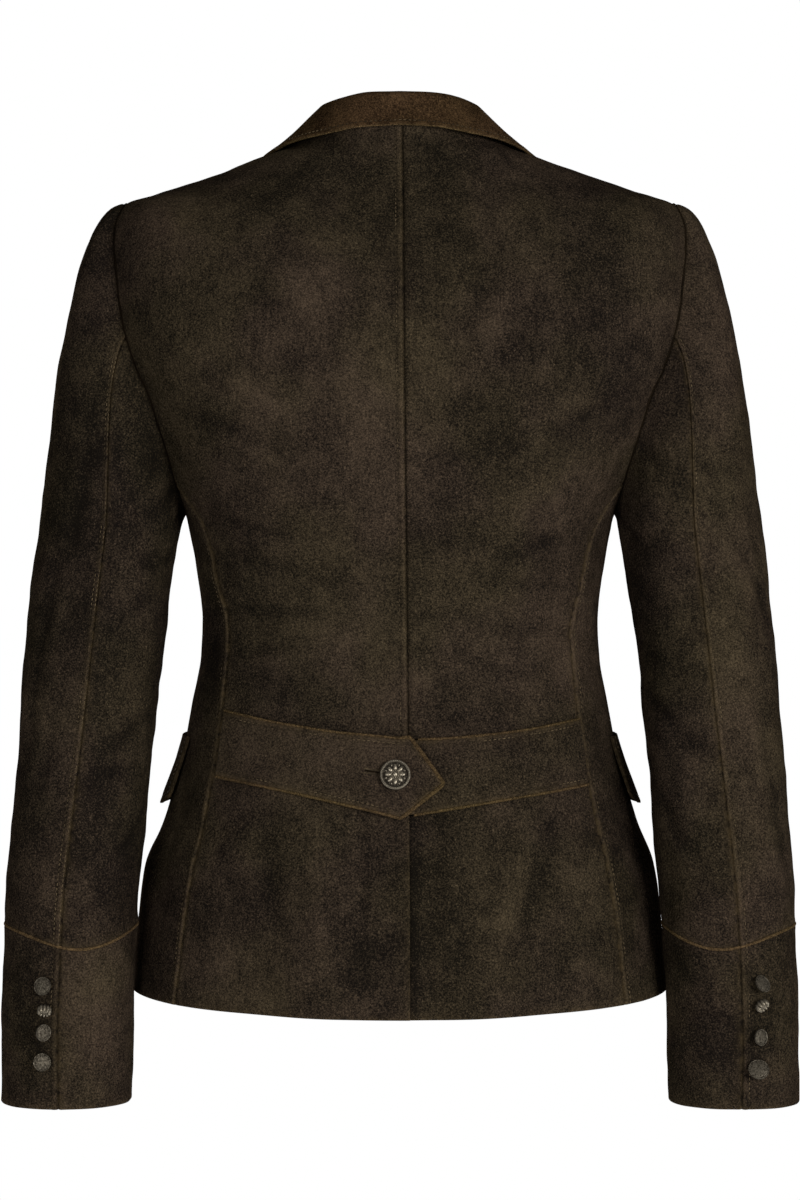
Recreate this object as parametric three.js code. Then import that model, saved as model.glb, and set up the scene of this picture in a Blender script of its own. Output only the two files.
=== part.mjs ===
// Women's short trachten blazer in suede, hollow and filled out as if worn, with its sleeves hanging.
// Millimetres, +Z up. The front faces -Y and the wearer's left is +X. The origin is in the middle of the
// neck, level with the tops of the shoulder seams.
import * as THREE from 'three';

const { clamp, lerp, degToRad, radToDeg, smoothstep } = THREE.MathUtils;

// Driving sizes
const SUEDE = 2;
const SEAM_GAP = 0.3;
const ON_TOP = 0.9;
const OVERLAP_DROP = 2.9;
const HEM_AT_SIDES = -576;
const HEM_DROP = 10;
const NECK_SIDE = 1;
const NECK_RISE_BACK = 11;
const NECK_FALL_FRONT = 27;
const ARMHOLE_TOP = -38.6;
const ARMHOLE_BOTTOM = -250;
const BICEPS = -262;
const CUFF_SEAM = -529;
const CUFF_SEAM_DIP = 14;
const CUFF_END = -651;
const BREAK_POINT = -225;
const FRONT_LAP = 20;
const FRONT_CORNER = 44;
const VENT_TOP = -440;
const VENT_UNDERLAP = 20;

// Steps and cells of the pieces' grids
const TURN_STEP = 12;
const TORSO_COLUMNS = 8;
const LOW_ROWS = 16;
const YOKE_ROWS = 3;
const CAP_ROWS = 6;
const ARM_ROWS = 9;
const CUFF_ROWS = 3;
const BUTTON_SIDES = 14;

// The body's level sections: half width, where the centre back, centre front and widest line lie, and the
// power that makes a section rounder or squarer
const TORSO = [
  { z: -610, half: 190, back: 125, front: -132, middle: -15, power: 2.3 },
  { z: -583, half: 186, back: 123, front: -131, middle: -15, power: 2.3 },
  { z: -530, half: 179, back: 119, front: -129, middle: -13, power: 2.3 },
  { z: -490, half: 173, back: 112, front: -127, middle: -12, power: 2.3 },
  { z: -462, half: 162, back: 107, front: -125, middle: -10, power: 2.3 },
  { z: -435, half: 154.5, back: 101, front: -122, middle: -9, power: 2.3 },
  { z: -407, half: 148, back: 93, front: -119, middle: -8, power: 2.3 },
  { z: -379, half: 143, back: 86, front: -117, middle: -7, power: 2.3 },
  { z: -352, half: 138, back: 81.5, front: -117, middle: -6, power: 2.3 },
  { z: -324, half: 136.3, back: 80, front: -121, middle: -5, power: 2.3 },
  { z: -283, half: 141, back: 89, front: -136, middle: -4, power: 2.3 },
  { z: -248, half: 148.5, back: 101, front: -139, middle: -3, power: 2.35 },
  { z: -224, half: 159, back: 107, front: -133, middle: -2, power: 2.4 },
  { z: -197, half: 170.7, back: 110, front: -123, middle: -1, power: 2.45 },
  { z: -172, half: 178.5, back: 111, front: -114, middle: 0, power: 2.55 },
  { z: -152, half: 188, back: 109, front: -107, middle: 0, power: 2.65 },
  { z: -128, half: 195, back: 106, front: -98, middle: 0, power: 2.75 },
  { z: -103, half: 197.4, back: 101, front: -89, middle: 1, power: 2.85 },
  { z: -76, half: 198.2, back: 92, front: -79, middle: 2, power: 2.9 },
  { z: -59, half: 197.4, back: 85, front: -71, middle: 3, power: 2.8 },
  { z: -47, half: 194.5, back: 79.5, front: -66, middle: 3.5, power: 2.5 },
  { z: -38.6, half: 188.5, back: 75, front: -62, middle: 4, power: 2.2 },
  { z: -30.4, half: 164, back: 71, front: -60, middle: 4, power: 2.05 },
  { z: -19.3, half: 129, back: 66.5, front: -57, middle: 5, power: 2 },
  { z: -8.3, half: 100, back: 63, front: -55, middle: 5, power: 2 },
  { z: 1, half: 75, back: 61, front: -52, middle: 5, power: 2 },
  { z: 14, half: 58, back: 60, front: -48, middle: 5, power: 2 },
  { z: 30, half: 50, back: 59, front: -44, middle: 5, power: 2 },
];

// Soft folds of the body: place, reach to each side, half length and depth, with the lean of the fold
const TORSO_FOLDS = [
  { angle: 74, z: -480, reach: 5, length: 62, depth: -3.6, lean: 0.02 },
  { angle: 82, z: -500, reach: 6, length: 60, depth: 2.6, lean: 0.03 },
  { angle: 40, z: -560, reach: 9, length: 70, depth: -3.0, lean: 0.03 },
  { angle: 22, z: -560, reach: 8, length: 75, depth: 2.0, lean: 0.02 },
  { angle: 104, z: -540, reach: 8, length: 80, depth: -3.0, lean: 0.0 },
  { angle: 62, z: -335, reach: 13, length: 22, depth: -2.4, lean: 0.0 },
  { angle: 66, z: -300, reach: 12, length: 16, depth: 1.6, lean: 0.0 },
  { angle: 120, z: -330, reach: 16, length: 24, depth: -2.0, lean: 0.0 },
];

// Where the side-back and side-front seams run, as angles from the centre back
const SIDE_SEAMS = [
  { z: -583, back: 59.2, front: 116 },
  { z: -500, back: 58.9, front: 115.5 },
  { z: -440, back: 60.7, front: 115 },
  { z: -388, back: 63.4, front: 115 },
  { z: -345, back: 66.6, front: 115 },
  { z: -300, back: 68, front: 114 },
  { z: -262, back: 69.6, front: 112 },
  { z: -229.8, back: 78, front: 109 },
];

// The armhole, by its turn from the shoulder, as angles on the body's back and front halves
const ARMHOLE = [
  { turn: 0, back: 90, front: 90 },
  { turn: 15, back: 85, front: 95.5 },
  { turn: 36, back: 82, front: 99.5 },
  { turn: 67, back: 77, front: 105 },
  { turn: 94, back: 74.4, front: 110 },
  { turn: 120, back: 74, front: 112.5 },
  { turn: 144, back: 78, front: 109 },
  { turn: 162, back: 83.5, front: 100 },
  { turn: 180, back: 90, front: 90 },
];
const SIDE_TURN = 144;

// How the sleeve head leaves the armhole and meets the arm, by the turn from the shoulder
const SLEEVE_HEAD = [
  { turn: 0, outX: 110, outY: 0, outZ: 5, downX: 30, downZ: -240 },
  { turn: 45, outX: 88, outY: 36, outZ: -30, downX: 20, downZ: -190 },
  { turn: 90, outX: 36, outY: 44, outZ: -70, downX: 8, downZ: -120 },
  { turn: 135, outX: 8, outY: 20, outZ: -34, downX: 4, downZ: -40 },
  { turn: 180, outX: 5, outY: 2, outZ: -12, downX: 3, downZ: -14 },
];

// The arm's level sections: centre, half width, half depth and the twist of the seams
const ARM = [
  { z: -262, x: 199.4, y: 12, wide: 48.8, deep: 55, twist: 8 },
  { z: -310, x: 205.2, y: 22, wide: 47.8, deep: 53.5, twist: 9 },
  { z: -379, x: 211, y: 33, wide: 46.7, deep: 51, twist: 8 },
  { z: -448, x: 216.6, y: 39, wide: 45.6, deep: 49, twist: 5.5 },
  { z: -517, x: 222, y: 41, wide: 44.9, deep: 47.5, twist: 3 },
  { z: -586, x: 225.3, y: 39, wide: 44.3, deep: 46.5, twist: 3 },
  { z: -660, x: 227.4, y: 31, wide: 44.4, deep: 46.5, twist: 5 },
];
const ARM_POWER = 2.15;

// Soft folds of the sleeves, by turn and height
const ARM_FOLDS = [
  { angle: 62, z: -300, reach: 16, length: 60, depth: -2.2, lean: -0.05 },
  { angle: 112, z: -390, reach: 22, length: 26, depth: -2.0, lean: 0.1 },
  { angle: 250, z: -372, reach: 34, length: 16, depth: -3.4, lean: 0.1 },
  { angle: 235, z: -402, reach: 30, length: 13, depth: -2.6, lean: 0.1 },
  { angle: 205, z: -345, reach: 26, length: 12, depth: -2.0, lean: 0.1 },
  { angle: 150, z: -500, reach: 24, length: 22, depth: -1.6, lean: 0.1 },
];
const BACK_SEAM_TURN = 84;
const FRONT_SEAM_TURN = 240;

// The collar from the centre back to its front ends, by angle: the roll on top and the edge of the leaf
const COLLAR = [
  { angle: 0, rollX: 0, rollY: 52, rollZ: 32.7, edgeX: 0, edgeY: 67, edgeZ: 9.4 },
  { angle: 20, rollX: 17, rollY: 50.2, rollZ: 32.2, edgeX: 24, edgeY: 65, edgeZ: 8.2 },
  { angle: 40, rollX: 33, rollY: 45, rollZ: 31, edgeX: 45, edgeY: 58, edgeZ: 5.4 },
  { angle: 70, rollX: 51.5, rollY: 24, rollZ: 28, edgeX: 75, edgeY: 36, edgeZ: 1.5 },
  { angle: 90, rollX: 57.5, rollY: 3, rollZ: 24, edgeX: 88, edgeY: 6, edgeZ: -1.5 },
  { angle: 112, rollX: 60.5, rollY: -22, rollZ: 15, edgeX: 97, edgeY: -26, edgeZ: -18 },
  { angle: 127, rollX: 56, rollY: -41, rollZ: 3, edgeX: 97, edgeY: -50, edgeZ: -40 },
  { angle: 138.5, rollX: 51, rollY: -52, rollZ: -11, edgeX: 80, edgeY: -68, edgeZ: -57 },
];
const NECK_FRONT_ANGLE = 141.6;
const COLLAR_END = 138.5;
const COLLAR_STATIONS = 36;
const COLLAR_CELLS = 7;
const ROLL_CELL = 3;

// The front roll line, the lapel's top edge with its notch and the left lapel's foot, by the distance from
// the centre front
const ROLL_TOP = { x: 50, z: -34 };
const LAPEL_TOP = [
  { across: 0, x: 51, z: -20 },
  { across: 0.5, x: 78, z: -63 },
  { across: 1, x: 105, z: -86 },
];
const LAPEL_FOOT = { x: 17, z: -207 };

// The half belt's edges on the back: height at the centre, slope and curve with the distance from it. Its
// ends lean with the side-back seams.
const BELT = {
  lean: 0.125,
  leanMiddle: -408,
  left: { end: 119.5, tip: -27.4, tipZ: -432.7, topCorner: -6, bottomCorner: 0,
    top: { middle: -404, slope: 0.0834, curve: 0.00055 },
    bottom: { middle: -454.6, slope: 0.262, curve: -0.00038 } },
  right: { end: 121.4, under: -14,
    top: { middle: -404.2, slope: 0, curve: 0.00085 },
    bottom: { middle: -453.6, slope: 0.16, curve: 0 } },
};
const BINDING = 2;
const BELT_RAISE = 2.9;

const FLAP = { rear: 78, fore: 138, top: -404, bottom: -452.5, flare: 4, cornerRadius: 12 };

// The cuff buttons of each sleeve, from the top down: place, size, and tilt of the face in degrees
const CUFF_BUTTONS = {
  left: [
    { turn: 72, z: -567.6, radius: 6.1, height: 2.6, nod: 14, lean: -8 },
    { turn: 74, z: -580, radius: 4.8, height: 5.2, nod: -50, lean: 10 },
    { turn: 72, z: -598, radius: 5.7, height: 2.6, nod: 6, lean: 52 },
    { turn: 72, z: -618.3, radius: 6, height: 2.6, nod: 8, lean: 6 },
  ],
  right: [
    { turn: 69, z: -566.6, radius: 6.1, height: 2.6, nod: 42, lean: 18 },
    { turn: 71, z: -577.5, radius: 4.8, height: 5.2, nod: -46, lean: 20 },
    { turn: 71, z: -601.7, radius: 5.6, height: 2.6, nod: 12, lean: 24 },
    { turn: 72, z: -623.8, radius: 7, height: 2.6, nod: 40, lean: -10 },
  ],
};
const FRONT_BUTTON_HEIGHTS = [-250, -330, -410];
const BIG_BUTTON = { radius: 10, height: 4.6 };
const SHANK = { radius: 1.6, height: 1.6, gap: 0.1 };

// Reads one column of a table at any place, on a smooth curve through its rows that never overshoots
function column(table, placeName, valueName) {
  const rows = [...table].sort((a, b) => a[placeName] - b[placeName]);
  const places = rows.map((row) => row[placeName]);
  const values = rows.map((row) => row[valueName]);
  const slopes = values.slice(1).map((value, i) => (value - values[i]) / (places[i + 1] - places[i]));
  const tangents = values.map((_, i) => {
    if (i === 0) return slopes[0];
    if (i === values.length - 1) return slopes[i - 1];
    const before = slopes[i - 1];
    const after = slopes[i];
    return before * after <= 0 ? 0 : (2 * before * after) / (before + after);
  });
  return (place) => {
    const at = clamp(place, places[0], places[places.length - 1]);
    let i = 0;
    while (i < places.length - 2 && at > places[i + 1]) i += 1;
    const width = places[i + 1] - places[i];
    const t = (at - places[i]) / width;
    return hermite(values[i], tangents[i] * width, values[i + 1], tangents[i + 1] * width, t);
  };
}

function hermite(start, startSlope, end, endSlope, t) {
  const t2 = t * t;
  const t3 = t2 * t;
  return (2 * t3 - 3 * t2 + 1) * start + (t3 - 2 * t2 + t) * startSlope
    + (3 * t2 - 2 * t3) * end + (t3 - t2) * endSlope;
}

function foldDepth(folds, angle, z) {
  return folds.reduce((sum, fold) => {
    const aside = (angle - fold.angle - fold.lean * (z - fold.z)) / fold.reach;
    const along = (z - fold.z) / fold.length;
    return sum + fold.depth * Math.exp(-aside * aside - along * along);
  }, 0);
}

const range = (count) => Array.from({ length: count + 1 }, (_, i) => i);

// The normal of a surface given by two coordinates, pointing to the side where the wall faces out
function outward(surface, u, v, stepU, stepV) {
  const alongU = surface(u + stepU, v).sub(surface(u - stepU, v));
  const alongV = surface(u, v + stepV).sub(surface(u, v - stepV));
  return alongV.cross(alongU).normalize();
}

// The body
const torsoHalf = column(TORSO, 'z', 'half');
const torsoBack = column(TORSO, 'z', 'back');
const torsoFront = column(TORSO, 'z', 'front');
const torsoMiddle = column(TORSO, 'z', 'middle');
const torsoPower = column(TORSO, 'z', 'power');
const sideBackSeam = column(SIDE_SEAMS, 'z', 'back');
const sideFrontSeam = column(SIDE_SEAMS, 'z', 'front');

function torsoDepth(z, onFront) {
  return onFront ? torsoMiddle(z) - torsoFront(z) : torsoBack(z) - torsoMiddle(z);
}

function torsoSkin(angle, z) {
  const sine = Math.sin(degToRad(angle));
  const cosine = Math.cos(degToRad(angle));
  const acrossShare = Math.abs(sine) / torsoHalf(z);
  const depthShare = Math.abs(cosine) / torsoDepth(z, cosine < 0);
  const power = torsoPower(z);
  const size = (acrossShare ** power + depthShare ** power) ** (-1 / power);
  const radius = size + foldDepth(TORSO_FOLDS, Math.abs(angle), z);
  return new THREE.Vector3(radius * sine, torsoMiddle(z) + radius * cosine, z);
}

function torso(angle, z, lift = 0) {
  return torsoSkin(angle, z).addScaledVector(outward(torsoSkin, angle, z, 0.5, 0.5), lift);
}

// The angle at which the body's back or front passes a distance from the middle plane
function angleAt(x, z, onFront) {
  const power = torsoPower(z);
  const share = (1 - Math.min(Math.abs(x) / torsoHalf(z), 1) ** power) ** (1 / power);
  const depth = torsoDepth(z, onFront) * share;
  return radToDeg(Math.atan2(x, onFront ? -depth : depth));
}

// How far a point lies outside the body's skin
function clearance(point) {
  const level = (p) => {
    const depth = torsoDepth(p.z, p.y < torsoMiddle(p.z));
    const power = torsoPower(p.z);
    const across = (Math.abs(p.x) / torsoHalf(p.z)) ** power;
    const along = (Math.abs(p.y - torsoMiddle(p.z)) / depth) ** power;
    return (across + along) ** (1 / power) - 1;
  };
  const slope = new THREE.Vector3(
    level(point.clone().setX(point.x + 0.5)) - level(point.clone().setX(point.x - 0.5)),
    level(point.clone().setY(point.y + 0.5)) - level(point.clone().setY(point.y - 0.5)),
    level(point.clone().setZ(point.z + 0.5)) - level(point.clone().setZ(point.z - 0.5)),
  );
  return { distance: level(point) / slope.length(), direction: slope.normalize() };
}

function liftOff(point, least) {
  for (let round = 0; round < 4; round += 1) {
    const { distance, direction } = clearance(point);
    if (distance < least) point.addScaledVector(direction, least - distance);
  }
  return point;
}

const hemHeight = (angle) => HEM_AT_SIDES - HEM_DROP * Math.abs(Math.cos(degToRad(angle)));

// Top edge of the body at the neck
function neckHeight(angle) {
  if (angle <= 90) return NECK_SIDE + NECK_RISE_BACK * Math.cos(degToRad(angle)) ** 1.3;
  return NECK_SIDE - NECK_FALL_FRONT * ((angle - 90) / (NECK_FRONT_ANGLE - 90)) ** 2.4;
}

// The armhole
const armholeBack = column(ARMHOLE, 'turn', 'back');
const armholeFront = column(ARMHOLE, 'turn', 'front');
const armholeMiddle = (ARMHOLE_TOP + ARMHOLE_BOTTOM) / 2;
const armholeReach = (ARMHOLE_TOP - ARMHOLE_BOTTOM) / 2;

const armholeHeight = (turn) => armholeMiddle + armholeReach * Math.cos(degToRad(turn));

function armholeAngle(turn) {
  const around = ((turn % 360) + 360) % 360;
  return around <= 180 ? armholeBack(around) : armholeFront(360 - around);
}

// The sleeve as one surface: down from 0 to 1 is the head, and from 1 on it is the arm
const headColumn = (name) => column(SLEEVE_HEAD, 'turn', name);
const head = { outX: headColumn('outX'), outY: headColumn('outY'), outZ: headColumn('outZ'),
  downX: headColumn('downX'), downZ: headColumn('downZ') };
const armColumn = (name) => column(ARM, 'z', name);
const arm = { x: armColumn('x'), y: armColumn('y'), wide: armColumn('wide'), deep: armColumn('deep'),
  twist: armColumn('twist') };

function armSkin(turn, z) {
  const around = degToRad(turn + arm.twist(z));
  const across = Math.abs(Math.cos(around)) / arm.wide(z);
  const along = Math.abs(Math.sin(around)) / arm.deep(z);
  const size = (across ** ARM_POWER + along ** ARM_POWER) ** (-1 / ARM_POWER);
  const radius = size + foldDepth(ARM_FOLDS, ((turn % 360) + 360) % 360, z);
  return new THREE.Vector3(arm.x(z) + radius * Math.cos(around), arm.y(z) + radius * Math.sin(around), z);
}

function headSkin(turn, share) {
  const around = ((turn % 360) + 360) % 360;
  const fold = Math.min(around, 360 - around);
  const toBack = around <= 180 ? 1 : -1;
  const start = torso(armholeAngle(turn), armholeHeight(turn), SEAM_GAP);
  const end = armSkin(turn, BICEPS);
  return new THREE.Vector3(
    hermite(start.x, head.outX(fold), end.x, head.downX(fold), share),
    hermite(start.y, head.outY(fold) * toBack, end.y, 0, share),
    hermite(start.z, head.outZ(fold), end.z, head.downZ(fold), share),
  );
}

function sleeveSkin(turn, down) {
  if (down <= 1) return headSkin(turn, Math.max(down, 0));
  return armSkin(turn, BICEPS - (down - 1) * (BICEPS - CUFF_END));
}

const downAt = (z) => 1 + (BICEPS - z) / (BICEPS - CUFF_END);

function sleeve(turn, down, lift = 0) {
  return sleeveSkin(turn, down).addScaledVector(outward(sleeveSkin, turn, down, 1, 0.01), lift);
}

function cuffSeamHeight(turn) {
  const aside = (turn - 100) / 46;
  return CUFF_SEAM - CUFF_SEAM_DIP * Math.exp(-aside * aside);
}

// A closed wall between an outer and an inner grid of points
function wallBetween(outer, inner) {
  const rows = outer.length;
  const columns = outer[0].length;
  const vertices = [...outer.flat(), ...inner.flat()];
  const faces = [];
  const quad = (a, b, c, d) => faces.push(a, b, c, a, c, d);
  const at = (layer, row, across) => layer * rows * columns + row * columns + across;
  for (let row = 0; row < rows - 1; row += 1) {
    for (let across = 0; across < columns - 1; across += 1) {
      quad(at(0, row, across), at(0, row, across + 1), at(0, row + 1, across + 1), at(0, row + 1, across));
      quad(at(1, row, across), at(1, row + 1, across), at(1, row + 1, across + 1), at(1, row, across + 1));
    }
    quad(at(0, row, 0), at(0, row + 1, 0), at(1, row + 1, 0), at(1, row, 0));
    quad(at(0, row, columns - 1), at(1, row, columns - 1), at(1, row + 1, columns - 1),
      at(0, row + 1, columns - 1));
  }
  for (let across = 0; across < columns - 1; across += 1) {
    quad(at(0, 0, across), at(1, 0, across), at(1, 0, across + 1), at(0, 0, across + 1));
    quad(at(0, rows - 1, across), at(0, rows - 1, across + 1), at(1, rows - 1, across + 1),
      at(1, rows - 1, across));
  }
  const geometry = new THREE.BufferGeometry();
  geometry.setAttribute('position', new THREE.Float32BufferAttribute(vertices.flatMap((v) => v.toArray()), 3));
  geometry.setIndex(volumeOf(vertices, faces) > 0 ? faces : faces.reverse());
  geometry.computeVertexNormals();
  return geometry;
}

function volumeOf(vertices, faces) {
  let volume = 0;
  for (let i = 0; i < faces.length; i += 3) {
    const [a, b, c] = [faces[i], faces[i + 1], faces[i + 2]].map((index) => vertices[index]);
    volume += a.dot(b.clone().cross(c)) / 6;
  }
  return volume;
}

// Draws the edge rows and columns of a grid in by half a seam's gap
function drawIn(grid, sides) {
  const last = grid.length - 1;
  const end = grid[0].length - 1;
  const shift = (point, neighbour) => {
    const step = neighbour.clone().sub(point);
    point.addScaledVector(step.normalize(), (SEAM_GAP * 2) / 3);
  };
  if (sides.first) grid.forEach((row) => shift(row[0], row[1]));
  if (sides.last) grid.forEach((row) => shift(row[end], row[end - 1]));
  if (sides.low) grid[0].forEach((point, i) => shift(point, grid[1][i]));
  if (sides.high) grid[last].forEach((point, i) => shift(point, grid[last - 1][i]));
  return grid;
}

// A wall through a grid of places on a surface, between two lifts from it
function panel(places, surface, { outerLift = 0, thickness = SUEDE, seams = {} } = {}) {
  const layer = (depth) => drawIn(places.map((row) => row.map((place) => {
    const lift = place.length > 2 ? place[2] : 0;
    return surface(place[0], place[1], lift + outerLift - depth);
  })), seams);
  return wallBetween(layer(0), layer(thickness));
}

function mirrored(geometry) {
  const copy = geometry.clone().scale(-1, 1, 1);
  const faces = Array.from(copy.index.array);
  copy.setIndex(faces.reverse());
  copy.computeVertexNormals();
  return copy;
}

// Places of a body panel row by row, from the hem to the armhole's foot, along the armhole, and to the
// neck. Each row runs from the panel's edge near the middle to its side seam, armhole or shoulder seam.
function bodyPlaces(edgeAngle, seamAngle, sideOfTurn, dropAt) {
  const spread = (z, last) => range(TORSO_COLUMNS).map((i) => {
    const first = edgeAngle(z);
    return first + (last - first) * (i / TORSO_COLUMNS);
  });
  const junction = armholeHeight(SIDE_TURN);
  const hemAngles = spread(HEM_AT_SIDES - HEM_DROP, seamAngle(HEM_AT_SIDES));
  const low = range(LOW_ROWS).map((row) => hemAngles.map((hemAngle, i) => {
    const z = lerp(hemHeight(hemAngle), junction, row / LOW_ROWS);
    return [lerp(edgeAngle(z), seamAngle(z), i / TORSO_COLUMNS), z];
  }));
  const alongArmhole = range(SIDE_TURN / TURN_STEP - 1).map((step) => {
    const turn = SIDE_TURN - (step + 1) * TURN_STEP;
    const z = armholeHeight(turn);
    return spread(z, armholeAngle(sideOfTurn * turn)).map((angle) => [angle, z]);
  });
  const shoulder = alongArmhole[alongArmhole.length - 1];
  const yoke = range(YOKE_ROWS - 1).map((step) => shoulder.map(([angle]) => {
    return [angle, lerp(ARMHOLE_TOP, neckHeight(angle), (step + 1) / YOKE_ROWS)];
  }));
  return [...low, ...alongArmhole, ...yoke].map((row) => row.map(([angle, z]) => {
    return [angle, z, -dropAt(angle, z)];
  }));
}

// The centre back seam drifts a little to the wearer's right on its way down, and the vent laps there
function centreBack(z) {
  return lerp(-6.6, -2, smoothstep(z, -583, 0));
}

function backPanel(side) {
  const edgeX = (z) => {
    const seam = side * centreBack(z);
    return side < 0 && z < VENT_TOP ? -VENT_UNDERLAP : seam;
  };
  const edgeAngle = (z) => angleAt(edgeX(z), z, false);
  const drop = (angle, z) => {
    if (side > 0) return 0;
    const x = torsoSkin(angle, z).x;
    const nearEdge = 1 - smoothstep(x, 18, 36);
    return OVERLAP_DROP * nearEdge * (1 - smoothstep(z, VENT_TOP + 12, VENT_TOP + 38));
  };
  const places = bodyPlaces(edgeAngle, sideBackSeam, 1, drop);
  return panel(places, torso, { seams: { first: true, last: true } });
}

function sidePanel() {
  const turns = range(72 / TURN_STEP).map((step) => SIDE_TURN + step * TURN_STEP);
  const junction = armholeHeight(SIDE_TURN);
  const rows = range(LOW_ROWS).map((row) => turns.map((turn) => {
    const topAngle = armholeAngle(turn);
    const top = armholeHeight(turn);
    const share = (topAngle - sideBackSeam(top)) / (sideFrontSeam(top) - sideBackSeam(top));
    const hemAngle = lerp(sideBackSeam(HEM_AT_SIDES), sideFrontSeam(HEM_AT_SIDES), share);
    const level = lerp(hemHeight(hemAngle), junction, row / LOW_ROWS);
    const fromTop = clamp(1 - (LOW_ROWS - row) / 5, 0, 1);
    const z = level + (top - junction) * fromTop * fromTop;
    return [lerp(sideBackSeam(z), sideFrontSeam(z), share), z];
  }));
  return panel(rows, torso, { seams: { first: true, last: true } });
}

// The front edge: straight below the break point with a rounded foot, and along the roll line above it
function rollX(z) {
  return lerp(-FRONT_LAP, ROLL_TOP.x, (z - BREAK_POINT) / (ROLL_TOP.z - BREAK_POINT));
}

function frontPanel(side) {
  const edgeX = (z) => {
    if (z > BREAK_POINT) return Math.min(rollX(z), ROLL_TOP.x);
    const foot = hemHeight(180) + FRONT_CORNER - z;
    const cut = foot <= 0 ? 0 : FRONT_CORNER - Math.sqrt(Math.max(FRONT_CORNER ** 2 - foot ** 2, 0));
    return -FRONT_LAP + cut;
  };
  const edgeAngle = (z) => {
    const angle = angleAt(edgeX(z), z, true);
    return angle < 0 ? angle + 360 : angle;
  };
  const drop = (angle, z) => {
    if (side < 0) return 0;
    const x = torsoSkin(angle, z).x;
    const covered = -Math.max(Math.min(rollX(z), ROLL_TOP.x), -FRONT_LAP);
    const nearEdge = 1 - smoothstep(x, covered + 6, covered + 26);
    return OVERLAP_DROP * nearEdge * (1 - smoothstep(z, -160, -130));
  };
  const places = bodyPlaces(edgeAngle, sideFrontSeam, -1, drop);
  return panel(places, torso, { seams: { last: true } });
}

// Points of the front, given by the distance from the middle plane and the height
const onFront = (x, z, lift) => torso(angleAt(x, z, true), z, lift);
const onBack = (x, z, lift) => torso(angleAt(x, z, false), z, lift);

// The lapel lies on the front between the roll line and its own outer edge. The left lapel's foot goes
// along the right front's roll line, which hides the rest of it.
function lapel(side) {
  const columns = 5;
  const rows = 8;
  const crossing = lerp(BREAK_POINT, ROLL_TOP.z, FRONT_LAP / (FRONT_LAP + ROLL_TOP.x));
  const foot = side < 0
    ? [{ x: -FRONT_LAP + 1, z: BREAK_POINT + 3 }, { x: -FRONT_LAP + 5, z: BREAK_POINT + 3 }]
    : [{ x: 2.5, z: crossing + 2 }, { x: LAPEL_FOOT.x, z: LAPEL_FOOT.z }];
  const topX = column(LAPEL_TOP, 'across', 'x');
  const topZ = column(LAPEL_TOP, 'across', 'z');
  const places = range(rows).map((row) => range(columns).map((i) => {
    const up = row / rows;
    const across = i / columns;
    const bulge = 9 * Math.sin(Math.PI * up) * across;
    const curl = 1.6 * (1 - across) ** 2;
    return [
      lerp(lerp(foot[0].x, foot[1].x, across), topX(across), up) + bulge,
      lerp(lerp(foot[0].z, foot[1].z, across), topZ(across), up),
      curl,
    ];
  }));
  return panel(places, onFront, { outerLift: ON_TOP + SUEDE });
}

// The collar: a section from the neck seam over the roll to the edge of the leaf, carried round the neck
function collarSection(angle) {
  const around = Math.abs(angle);
  const side = angle < 0 ? -1 : 1;
  const read = (name) => column(COLLAR, 'angle', name)(around);
  const seam = torso(around, neckHeight(around) + SEAM_GAP * 5, -SUEDE);
  const roll = new THREE.Vector3(read('rollX'), read('rollY'), read('rollZ'));
  const edge = liftOff(new THREE.Vector3(read('edgeX'), read('edgeY'), read('edgeZ')), SUEDE + ON_TOP + 0.6);
  const across = edge.clone().sub(seam).setZ(0).normalize();
  const beside = (steps, down) => roll.clone().addScaledVector(across, steps).setZ(roll.z - down);
  const inside = beside(-1.6, 3.2);
  const outside = beside(3.4, 2.6);
  const points = [
    seam, seam.clone().lerp(inside, 0.55), inside, roll, outside,
    outside.clone().lerp(edge, 0.36), outside.clone().lerp(edge, 0.7), edge,
  ];
  points.forEach((point, i) => {
    if (i > ROLL_CELL) liftOff(point, SUEDE + ON_TOP + 0.4);
    point.x *= side;
  });
  return points;
}

function collar() {
  const stations = range(COLLAR_STATIONS).map((i) => {
    return collarSection(lerp(-COLLAR_END, COLLAR_END, i / COLLAR_STATIONS));
  });
  const inner = stations.map((section, i) => section.map((point, k) => {
    const before = stations[Math.max(i - 1, 0)][k];
    const after = stations[Math.min(i + 1, COLLAR_STATIONS)][k];
    const along = after.clone().sub(before);
    const down = section[Math.min(k + 1, COLLAR_CELLS)].clone().sub(section[Math.max(k - 1, 0)]);
    return point.clone().addScaledVector(down.cross(along).normalize(), SUEDE);
  }));
  return wallBetween(stations, inner);
}

// Half belt
const beltEdge = (shape, x) => shape.middle + shape.slope * Math.abs(x) + shape.curve * x * x;

function beltRaise(x) {
  return BELT_RAISE * (1 - smoothstep(x, 20, 44));
}

function leant(x, z) {
  return x - BELT.lean * (z - BELT.leanMiddle) * smoothstep(x, 60, BELT.left.end);
}

function leftBeltTop(x) {
  const { tip, tipZ, topCorner, top } = BELT.left;
  if (x >= topCorner) return beltEdge(top, x);
  return lerp(tipZ, beltEdge(top, topCorner), (x - tip) / (topCorner - tip));
}

function leftBeltBottom(x) {
  const { tip, tipZ, bottomCorner, bottom } = BELT.left;
  if (x >= bottomCorner) return beltEdge(bottom, x);
  return lerp(tipZ, beltEdge(bottom, bottomCorner), (x - tip) / (bottomCorner - tip));
}

function beltPanel(xs, topAt, bottomAt, raiseAt) {
  const rows = 3;
  const places = range(rows).map((row) => xs.map((x) => {
    const z = lerp(bottomAt(x), topAt(x), row / rows);
    return [leant(x, z), z, raiseAt(x)];
  }));
  return panel(places, onBack, { outerLift: ON_TOP + SUEDE });
}

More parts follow.
